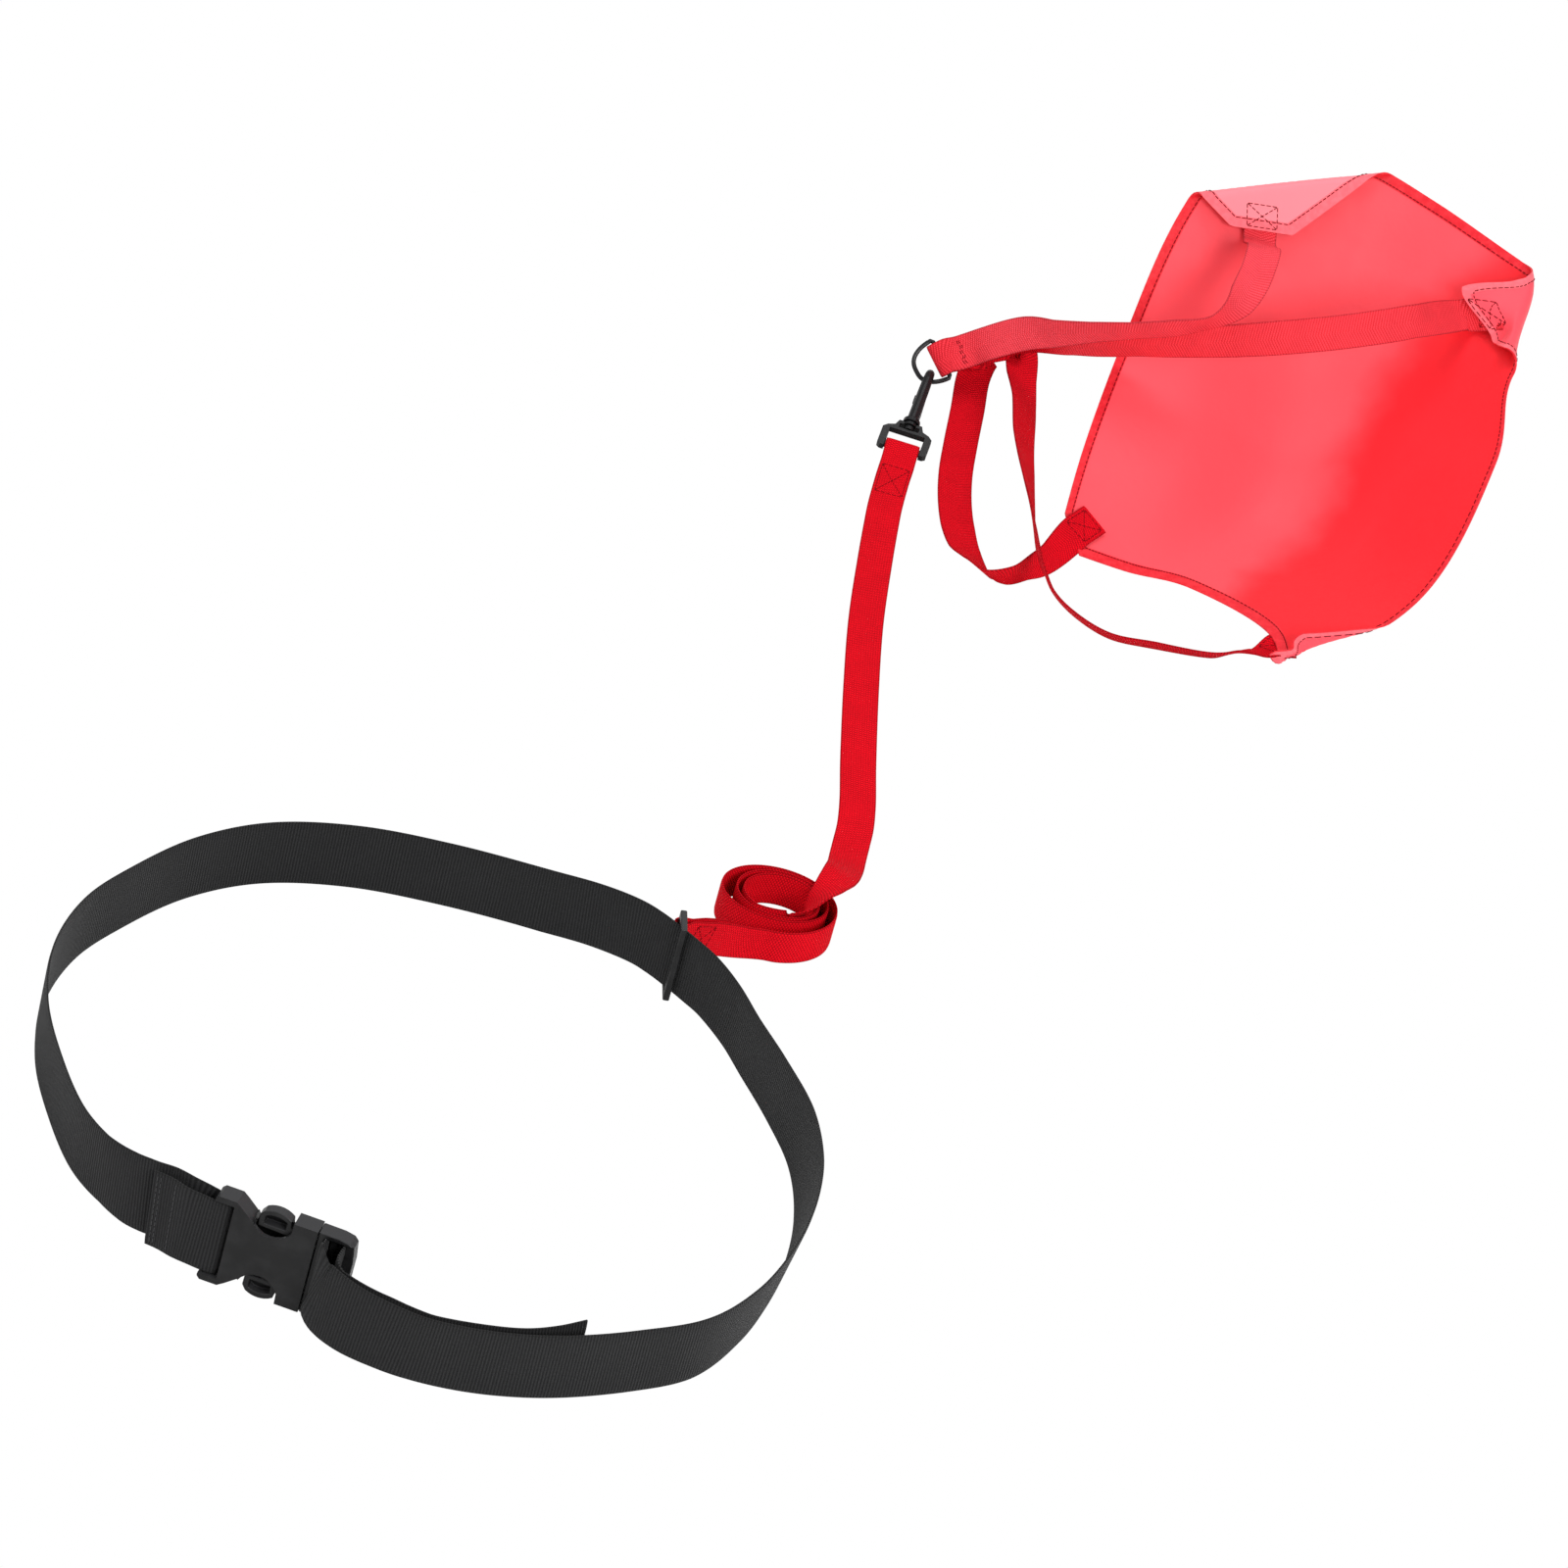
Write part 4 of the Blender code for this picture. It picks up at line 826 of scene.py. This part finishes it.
def even_spline(points, t):
    """Smooth curve through evenly spaced points, t steps from the first."""
    index = int(min(max(math.floor(t), 0), len(points) - 2))
    f = t - index
    p0, p1, p2, p3 = neighbours(points, index)
    return 0.5 * (2 * p1 + (p2 - p0) * f + (2 * p0 - 5 * p1 + 4 * p2 - p3) * f * f
                  + (3 * p1 - p0 - 3 * p2 + p3) * f ** 3)


def unfolded(p, q):
    rows = [even_spline([Vector(v) for v in row], p / NET_STEP) for row in NET]
    return even_spline(rows, q / NET_STEP)


def cloth(p, q):
    """Place of the flat cloth's point (p, q): its corners folded over and two of them pulled askew."""
    place = folded(p, q)
    for (x, y), reach, pull in PULLS:
        share = max(1 - math.hypot(p - x, q - y) / reach, 0.0)
        place = place + Vector(pull) * (share * share * (3 - 2 * share))
    return place


def folded(p, q):
    """Place of the flat cloth's point (p, q), round the fold that it lies past, if any."""
    for (ax, ay), (bx, by), radius, degrees, slide in FOLDS:
        line = Vector((bx - ax, by - ay)).normalized()
        out = Vector((line.y, -line.x))
        middle = Vector((CANOPY_SIDE / 2 - ax, CANOPY_SIDE / 2 - ay))
        if middle.dot(out) > 0:
            out = -out
        past = Vector((p - ax, q - ay)).dot(out)
        if past <= 0:
            continue
        foot = Vector((p, q)) - out * past
        start = unfolded(foot.x, foot.y)
        near = out * FOLD_PROBE
        away = unfolded(foot.x + near.x, foot.y + near.y) - unfolded(foot.x - near.x, foot.y - near.y)
        away.normalize()
        cross = unfolded(foot.x - near.y, foot.y + near.x) - unfolded(foot.x + near.y, foot.y - near.x)
        cross = (cross - away * cross.dot(away)).normalized()
        inside = away.cross(cross)
        total = math.radians(degrees)
        bend = min(past / radius, total)
        rest = max(past - radius * total, 0.0)
        along = radius * math.sin(bend) + rest * math.cos(bend)
        lift = radius * (1 - math.cos(bend)) + rest * math.sin(bend)
        return start + away * along + inside * lift + cross * (slide * rest)
    return unfolded(p, q)


def cloth_normal(p, q):
    """Unit direction out of the inside face."""
    one = cloth(p + SLOPE_PROBE, q) - cloth(p - SLOPE_PROBE, q)
    two = cloth(p, q + SLOPE_PROBE) - cloth(p, q - SLOPE_PROBE)
    return one.cross(two).normalized()


# Chute straps: which way they leave the ring in the picture, and how their ends stand off the cloth

LEAD = 33.0
OFFSET = CANOPY_THICK / 2 + FIT_GAP + STRAP_THICK / 2
LIFTS = ((0, 2.8), (5, 1.0), (CANOPY_SIDE, 0.5))

# Where each end is sewn: a point of the flat cloth, a direction, and the box seam's two ends that way
SLANT = math.sqrt(0.5)
NEAR = CORNER_CUT / 2
FAR = CANOPY_SIDE - CORNER_CUT / 2
SEWN = {
    "lower_left": ((NEAR, NEAR), (SLANT, SLANT), 4, 21),
    "lower_right": ((271, 0), (0.845, 0.535), 8, 21),
    "upper_right": ((FAR, FAR), (-SLANT, -SLANT), 2, 18),
    "upper_left": ((NEAR, FAR), (SLANT, -SLANT), 2, 18),
}


def patch(seat, face, reaches, alike):
    """Rows of a strap end sewn on one face of the cloth, from the cut edge inwards, with a width direction
    like the one given."""
    corner, way = seat[:2]
    side = Vector((-way[1], way[0]))
    rows = []
    for reach in reaches:
        p = corner[0] + way[0] * reach
        q = corner[1] + way[1] * reach
        one = cloth(p + side.x * STRAP_WIDTH / 2, q + side.y * STRAP_WIDTH / 2)
        two = cloth(p - side.x * STRAP_WIDTH / 2, q - side.y * STRAP_WIDTH / 2)
        outward = cloth_normal(p, q) * face
        middle = cloth(p, q)
        hollow = ((one + two) / 2 - middle).dot(outward)
        lift = next(height for end, height in LIFTS if reach < end)
        centre = middle + outward * (OFFSET + lift + max(hollow, 0.0))
        across = one - two
        rows.append((centre, across if across.dot(Vector(alike)) > 0 else -across))
    return rows


def ring_stack(dee, level):
    """Rows round the straight bar of the ring, which leave it askew. The strap of level 0 lies on the bar
    and that of level 1 over it."""
    wrap = DEE_WRAP + level * LAYER_STEP
    close = LAYER_STEP * (0.5 + level)
    bar = dee.to_3x3() @ Vector((1, 0, 0))
    face = dee.to_3x3() @ Vector((0, 1, 0))
    lead = in_picture(LEAD)
    askew = in_picture(LEAD - 90)
    apart = ((22, close), (12, close + 0.2))
    angles = [math.radians(90 + 45 * step) for step in range(5)]
    round_wire = [(wrap * math.sin(a), -wrap * math.cos(a)) for a in angles]
    rows = [(dee.translation + face * height + lead * far, askew) for far, height in apart]
    rows += [(dee @ Vector((0, y, z)), bar)
             for y, z in [(wrap * 0.93, -5)] + round_wire + [(-wrap * 0.93, -5)]]
    rows += [(dee.translation - face * height + lead * far, askew) for far, height in apart[::-1]]
    return rows


def blend_side(degrees):
    """Width direction between straight down in the picture and straight away from it."""
    angle = math.radians(degrees)
    return Vector(DOWN) * math.cos(angle) + Vector(VIEW) * math.sin(angle)


def in_picture(degrees):
    """Direction square to the line of sight, at an angle up from sideways."""
    angle = math.radians(degrees)
    return Vector((math.cos(angle), UPRIGHT[1] * math.sin(angle), UPRIGHT[2] * math.sin(angle)))


def turned_over(start, heading, across, axis, radius):
    """Rows of a strap that folds back over a slanted axis, away from the viewer."""
    away = Vector(VIEW)
    lean = in_picture(axis)
    climb = in_picture(axis + 90)
    rows = []
    for step in range(5):
        turn = math.pi * step / 4
        level = climb * math.cos(turn) + away * math.sin(turn)
        gone = radius * turn * heading.dot(lean) / heading.dot(climb)
        point = start + lean * gone + climb * (radius * math.sin(turn))
        point += away * (radius * (1 - math.cos(turn)))
        rows.append((point, lean * across.dot(lean) + level * across.dot(climb)))
    return rows


# Routes of the straps from the ring to each corner, as places and width directions

UPPER_LEFT = [((214, 929.5, 58.5), blend_side(3)), ((238, 921, 80.5), blend_side(22)),
              ((261, 909, 96), blend_side(50)), ((286, 903, 109), blend_side(62)),
              ((314, 899, 122), blend_side(68)), ((341, 899, 133), blend_side(66)),
              ((364, 905, 142), (0.35, 0.70, -0.60)), ((378, 919, 152), (0.70, 0.60, -0.25)),
              ((386, 942, 163), (0.90, 0.30, 0)), ((388, 966, 174), (1, 0.1, 0))]
UPPER_RIGHT = [((215, 933.5, 56), blend_side(3)), ((240, 927, 75), blend_side(22)),
               ((271, 915, 87), blend_side(50)), ((297, 914, 92.5), blend_side(60)),
               ((317, 914, 100.5), blend_side(55)), ((344, 913.5, 111), blend_side(42)),
               ((388, 917.5, 125.5), blend_side(22)), ((421, 921, 137), blend_side(8)),
               ((455, 931, 146), blend_side(0)), ((488, 943, 155), blend_side(0)),
               ((507, 950, 161), blend_side(15))]
LOWER_LEFT = [((211, 941, 19), (1, 0, 0)), ((213, 913, 8.5), (1, 0, 0)), ((214.5, 875, 2.5), (1, 0, 0)),
              ((216.5, 838, 0.9), (1, 0, 0)), ((221, 803, 0.8), (1, 0, 0)),
              ((227.5, 773, 1.2), (0.97, 0.15, 0)), ((236, 745, 3.5), (0.85, 0.4, -0.2)),
              ((245, 727, 7), (0.5, 0.65, -0.5)), ((256, 714.5, 9), (0.1, 0.7, -0.65)),
              ((270, 716, 11.5), (-0.05, 0.4, -0.9)), ((284, 733, 12.9), (0.1, 0.1, -0.95)),
              ((294, 746, 14), (0.35, -0.1, -0.85))]
LOWER_RIGHT = [((238, 950, 47), (0.95, 0.1, 0)), ((245, 930, 37), (0.9, 0.05, -0.35)),
               ((251, 905, 33), (0.83, 0, -0.56)), ((257, 862, 31), (0.77, 0, -0.64)),
               ((263, 828, 32), (0.67, 0.05, -0.74)), ((270, 791, 34), (0.5, 0.1, -0.86)),
               ((276, 757, 38), (0.3, 0.25, -0.92)), ((283, 724, 40), (0.1, 0.55, -0.83)),
               ((293, 697, 37), VIEW), ((303, 687, 28), VIEW), ((320, 680, 20), blend_side(86)),
               ((348, 676, 12.5), blend_side(83)), ((380, 681, 11), blend_side(81)),
               ((424, 692, 9), blend_side(84)), ((440, 704, 8.6), blend_side(91)),
               ((449, 709, 7.8), blend_side(96)), ((458, 714.5, 6.6), blend_side(105))]


def below_ring(dee):
    """How each strap leaves the ring for its lower corner: it folds back over a slanted line."""
    ahead = in_picture(LEAD)
    bar = in_picture(LEAD - 90)
    away = Vector(VIEW)
    leave = dee.translation + ahead * 22
    left = turned_over(leave + ahead * 4 + away * 4.3 + bar * 4, ahead, bar, -40.5, 6.0)
    right = [(leave + ahead * far + away * 1.2 + bar * far / 8, bar) for far in (8, 16)]
    right += turned_over(leave + ahead * 24 + away * 1.2 + bar * 3, ahead, bar, -21, 3.0)
    return left, right


def strap_rows(dee, level, top, upper, lower, bottom):
    """From an upper corner of the cloth round the ring to a lower one. The strap of level 1 is sewn on the
    inside of the cloth at both ends, and that of level 0 on the outside at the lower one."""
    first, last = bottom[2:]
    rows = patch(top, 1, (-7.0, 3.0, 12.0, 21.0), upper[-1][1])[::-1]
    rows += upper[::-1]
    rows += ring_stack(dee, level)
    rows += lower
    rows += patch(bottom, 2 * level - 1, (first, first + 6.0, last + 3.0), lower[-1][1])
    return rows


def make_strap(name, node, rows, ring, ring_seams, fabric, thread):
    """One strap with a crossed box at both ends; ring_seams says how far before the ring's bar rows of
    stitches cross it, in waves on the face that is seen."""
    stations = route(rows)
    strap = ribbon(name, stations, STRAP_WIDTH, STRAP_THICK, fabric)
    length = stations[-1][3]
    at_ring = along_at(stations, ring)
    sewing = Sewing(STRAP_THREAD)
    sewing.strap_box(stations, 2.5, 20.0)
    sewing.strap_box(stations, length - 22.5, length - 2.5)
    for before in ring_seams:
        row = at_ring - before
        for side, wave in ((1, 0.7), (-1, 0.0)):
            sewing.seam(lambda d: on_ribbon(stations, row + wave * math.sin(d * 0.9), d - BOX_HALF, side,
                                            STRAP_THICK), 2 * BOX_HALF)
    seams = sewing.finish(name + "_stitches", thread)
    for thing in (strap, seams):
        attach(thing, "chute")
    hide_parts(node)
    length * MM


def make_straps(dee, over, under, thread):
    left, right = below_ring(dee)
    rows = strap_rows(dee, 1, SEWN["upper_left"], UPPER_LEFT, left + LOWER_LEFT, SEWN["lower_left"])
    make_strap("strap_over", "strap_outer", rows, dee.translation, (18.0, 16.4), over, thread)
    rows = strap_rows(dee, 0, SEWN["upper_right"], UPPER_RIGHT, right + LOWER_RIGHT, SEWN["lower_right"])
    make_strap("strap_under", "strap_inner", rows, dee.translation, (), under, thread)


# Canopy

def edge_distance(p, q):
    """Distance on the flat cloth from (p, q) to the nearest cut edge."""
    from_p = min(p, CANOPY_SIDE - p)
    from_q = min(q, CANOPY_SIDE - q)
    return min(from_p, from_q, (from_p + from_q - CORNER_CUT) * math.sqrt(0.5))


def half_thick(p, q):
    hem = min(max((HEM_WIDTH - edge_distance(p, q)) / 1.5, 0.0), 1.0)
    return (CLOTH_THICK + (HEM_THICK - CLOTH_THICK) * hem) / 2


def on_cloth(p, q, side):
    outward = cloth_normal(p, q) * side
    return cloth(p, q) + outward * half_thick(p, q), outward


def cloth_grid():
    """Cloth coordinates in even rows that follow the four cut corners."""
    rows = []
    for j in range(CELLS + 1):
        q = CANOPY_SIDE * j / CELLS
        inset = max(CORNER_CUT - min(q, CANOPY_SIDE - q), 0.0)
        width = CANOPY_SIDE - 2 * inset
        rows.append([(inset + width * i / CELLS, q) for i in range(CELLS + 1)])
    return rows


def canopy_points():
    """Points of both faces, the inside first, and each point's metres on the flat cloth."""
    flat = [spot for row in cloth_grid() for spot in row]
    middle = [cloth(p, q) for p, q in flat]
    count = CELLS + 1
    normals = []
    for index in range(len(flat)):
        j, i = divmod(index, count)
        east = middle[j * count + min(i + 1, CELLS)] - middle[j * count + max(i - 1, 0)]
        north = middle[min(j + 1, CELLS) * count + i] - middle[max(j - 1, 0) * count + i]
        normals.append(east.cross(north).normalized())
    points = []
    uv = []
    for sign in (1, -1):
        for (p, q), centre, normal in zip(flat, middle, normals):
            point = centre + normal * (half_thick(p, q) * sign)
            point.z = max(point.z, 0.0)
            points.append(point)
            uv.append((p * MM, q * MM))
    return points, uv


def canopy_faces():
    """Faces of both sides and of the rim, and the number of each face's material."""
    count = CELLS + 1
    total = count * count
    faces = []
    kinds = []
    for j in range(CELLS):
        for i in range(CELLS):
            a = j * count + i
            quad = (a, a + 1, a + 1 + count, a + count)
            faces.append(quad)
            faces.append(tuple(total + v for v in reversed(quad)))
            kinds += [0, 1]
    rim = list(range(count))
    rim += [j * count + CELLS for j in range(1, count)]
    rim += [CELLS * count + i for i in range(CELLS - 1, -1, -1)]
    rim += [j * count for j in range(CELLS - 1, 0, -1)]
    for k, a in enumerate(rim):
        b = rim[(k + 1) % len(rim)]
        faces.append((b, a, total + a, total + b))
        kinds.append(0)
    return faces, kinds


def sew_hem(sewing):
    """A seam along each of the eight edges, on both faces."""
    low = HEM_WIDTH - HEM_SEAM
    high = CANOPY_SIDE - low
    right = CANOPY_SIDE - THIN_HEM
    near = CORNER_CUT + low * (math.sqrt(2) - 1)
    far = CANOPY_SIDE - near
    corners = [(near, low), (far, low), (right, near), (right, far),
               (far, high), (near, high), (low, far), (low, near)]
    for index, corner in enumerate(corners):
        for side in (1, -1):
            sewing.line(corner, corners[(index + 1) % 8], lambda p, q: on_cloth(p, q, side))


def make_canopy(inside, outside, thread):
    points, uv = canopy_points()
    faces, kinds = canopy_faces()
    canopy = add_mesh("canopy", points, faces, [inside, outside], uv, kinds)
    face_out(canopy)
    sewing = Sewing(HEM_THREAD)
    sew_hem(sewing)
    for (x, y), (wx, wy), first, last in SEWN.values():
        sewing.crossed_box(first, last, BOX_HALF,
                           lambda r, w: on_cloth(x + wx * r - wy * w, y + wy * r + wx * w, -1))
    seams = sewing.finish("canopy_hem_stitches", thread)
    for thing in (canopy, seams):
        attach(thing, "chute")
    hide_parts("chute_canopy")


# Look of the pieces that come over from the CAD model

def dress(names, material):
    for name in names:
        node = frame["nodes"][name]
        node.data.materials.clear()
        node.data.materials.append(material)


# Room, lights and camera

def area_light(name, place, aim, size, power):
    lamp = add_object(name, bpy.data.lights.new(name, "AREA"))
    lamp.data.shape = "RECTANGLE"
    lamp.data.size, lamp.data.size_y = size
    lamp.data.energy = power
    lamp.location = place
    lamp.rotation_euler = (Vector(aim) - Vector(place)).to_track_quat("-Z", "Y").to_euler()


def shown_apart(tree, lit, seen, output):
    """One shader meets the light and the other is what the camera sees."""
    rays = tree.nodes.new("ShaderNodeLightPath")
    mix = tree.nodes.new("ShaderNodeMixShader")
    tree.links.new(rays.outputs["Is Camera Ray"], mix.inputs[0])
    tree.links.new(lit.outputs[0], mix.inputs[1])
    tree.links.new(seen.outputs[0], mix.inputs[2])
    tree.links.new(mix.outputs[0], tree.nodes[output].inputs["Surface"])


def make_floor():
    """White to the camera, and plain pale card to the light."""
    square = ((-1, -1), (1, -1), (1, 1), (-1, 1))
    corners = [(x * FLOOR_HALF, y * FLOOR_HALF, FLOOR_LEVEL) for x, y in square]
    mesh = bpy.data.meshes.new("floor")
    mesh.from_pydata(corners, [], [(0, 1, 2, 3)])
    floor = add_object("floor", mesh)
    material, tree, shader = new_material("floor_white", (0.85, 0.85, 0.85), 0.9, 0.1)
    glow = tree.nodes.new("ShaderNodeEmission")
    glow.inputs["Color"].default_value = (1.0, 1.0, 1.0, 1.0)
    shown_apart(tree, shader, glow, "Material Output")
    mesh.materials.append(material)


def make_room():
    """White all round, dimmer to the object than to the camera, and three large lamps."""
    room = bpy.data.worlds.new("room")
    room.use_nodes = True
    tree = room.node_tree
    sky = tree.nodes["Background"]
    seen = tree.nodes.new("ShaderNodeBackground")
    for backdrop, strength in ((sky, WORLD_LIGHT), (seen, 1.0)):
        backdrop.inputs["Color"].default_value = (1.0, 1.0, 1.0, 1.0)
        backdrop.inputs["Strength"].default_value = strength
    shown_apart(tree, sky, seen, "World Output")
    bpy.context.scene.world = room
    area_light("key", (1.6, -2.4, 2.0), (0.1, 0.1, 0.05), (1.4, 1.4), KEY_LIGHT)
    area_light("fill", (-2.2, -1.0, 1.8), (0.0, 0.0, 0.0), (1.6, 1.6), FILL_LIGHT)
    area_light("top", (-0.2, 0.9, 2.6), (0.0, 0.0, 0.0), (1.8, 1.2), TOP_LIGHT)


def make_camera():
    turn = math.radians(CAMERA_TURN)
    right = Vector((1.0, 0.0, 0.0))
    ahead = Vector(VIEW).normalized()
    up = Vector(UPRIGHT).normalized()
    x = right * math.cos(turn) + up * math.sin(turn)
    y = up * math.cos(turn) - right * math.sin(turn)
    data = bpy.data.cameras.new("camera")
    data.lens = LENS
    data.sensor_width = 36.0
    data.clip_end = 100.0
    camera = add_object("camera", data)
    camera.matrix_world = placed(x, y, -ahead, world(CAMERA_PLACE))
    bpy.context.scene.camera = camera


# Looks

# Weaves: rib spacing, cord width, slant, cords until the slant turns, and how much the cords break the ribs
BELT_WEAVE = (2.0, 1.5, 0.0, 1.0, 0.15)
TETHER_WEAVE = (2.1, 1.7, 0.5, 1.0, 0.6)
CHUTE_WEAVE = (2.0, 1.4, 0.25, 60.0, 0.6)

# Surfaces: roughness, specular, sheen and depth of the weave
BELT_SURFACE = (0.8, 0.18, 0.07, 0.45)
STRAP_SURFACE = (0.85, 0.06, 0.0, 0.3)

# Lines on the flat cloth where its painted lit and shaded colours meet, inside and outside
INSIDE_PAINTED_LIGHT_LINE = ((206.0, 0.0), (212.0, 340.0))
OUTSIDE_PAINTED_LIGHT_LINE = ((0.0, 230.0), (150.0, 340.0))

BLACK = webbing_material("webbing_black", (0.021, 0.021, 0.022), (0.001, 0.001, 0.0013),
                         BELT_WEAVE, BELT_WIDTH, BELT_SURFACE)
RED = webbing_material("webbing_red", (0.98, 0.004, 0.016), (0.25, 0.001, 0.004),
                       TETHER_WEAVE, STRAP_WIDTH, STRAP_SURFACE)
# Painted highlight: both chute straps take a paler colour over their first stretch, given in metres after
# the colour.
OVER = webbing_material("webbing_red_over", (0.92, 0.004, 0.015), (0.27, 0.001, 0.005),
                        CHUTE_WEAVE, STRAP_WIDTH, STRAP_SURFACE, ((0.98, 0.105, 0.14), 0.31, 0.43))
UNDER = webbing_material("webbing_red_under", (0.88, 0.004, 0.015), (0.26, 0.001, 0.005),
                         CHUTE_WEAVE, STRAP_WIDTH, STRAP_SURFACE, ((0.96, 0.07, 0.095), 0.345, 0.375))
# Each face of the cloth gets a painted lit colour and a painted shaded colour, split along its line.
INSIDE = cloth_material("cloth_red", (0.92, 0.072, 0.095), (0.88, 0.008, 0.018), (0.70, 0.006, 0.018),
                        INSIDE_PAINTED_LIGHT_LINE)
OUTSIDE = cloth_material("cloth_red_outside", (0.93, 0.22, 0.26), (0.90, 0.07, 0.10), (0.88, 0.12, 0.15),
                         OUTSIDE_PAINTED_LIGHT_LINE)
PLASTIC = plastic_material("plastic_black", (0.006, 0.006, 0.0064), 0.38)
HOOK_PLASTIC = plastic_material("plastic_black_hook", (0.0016, 0.0016, 0.0018), 0.36)
METAL = metal_material("metal_black", (0.012, 0.012, 0.013))
DARK_THREAD = new_material("thread_dark_red", (0.16, 0.001, 0.004), 0.8, 0.1)[0]
BLACK_THREAD = new_material("thread_black", (0.05, 0.05, 0.052), 0.7, 0.2)[0]

make_belt(buckle_frame(), BLACK, BLACK_THREAD)
make_tether(RED, DARK_THREAD)
make_canopy(INSIDE, OUTSIDE, DARK_THREAD)
make_straps(dee_frame(hook_frame()), OVER, UNDER, DARK_THREAD)
dress(("buckle_socket", "buckle_plug", "buckle_prong_upper", "buckle_prong_lower", "belt_ring"), PLASTIC)
dress(("hook_eye", "hook_body", "hook_gate"), HOOK_PLASTIC)
dress(("chute_ring",), METAL)

make_floor()
make_room()
make_camera()
bpy.context.scene.view_settings.view_transform = "Standard"
bpy.context.scene.view_settings.look = "None"
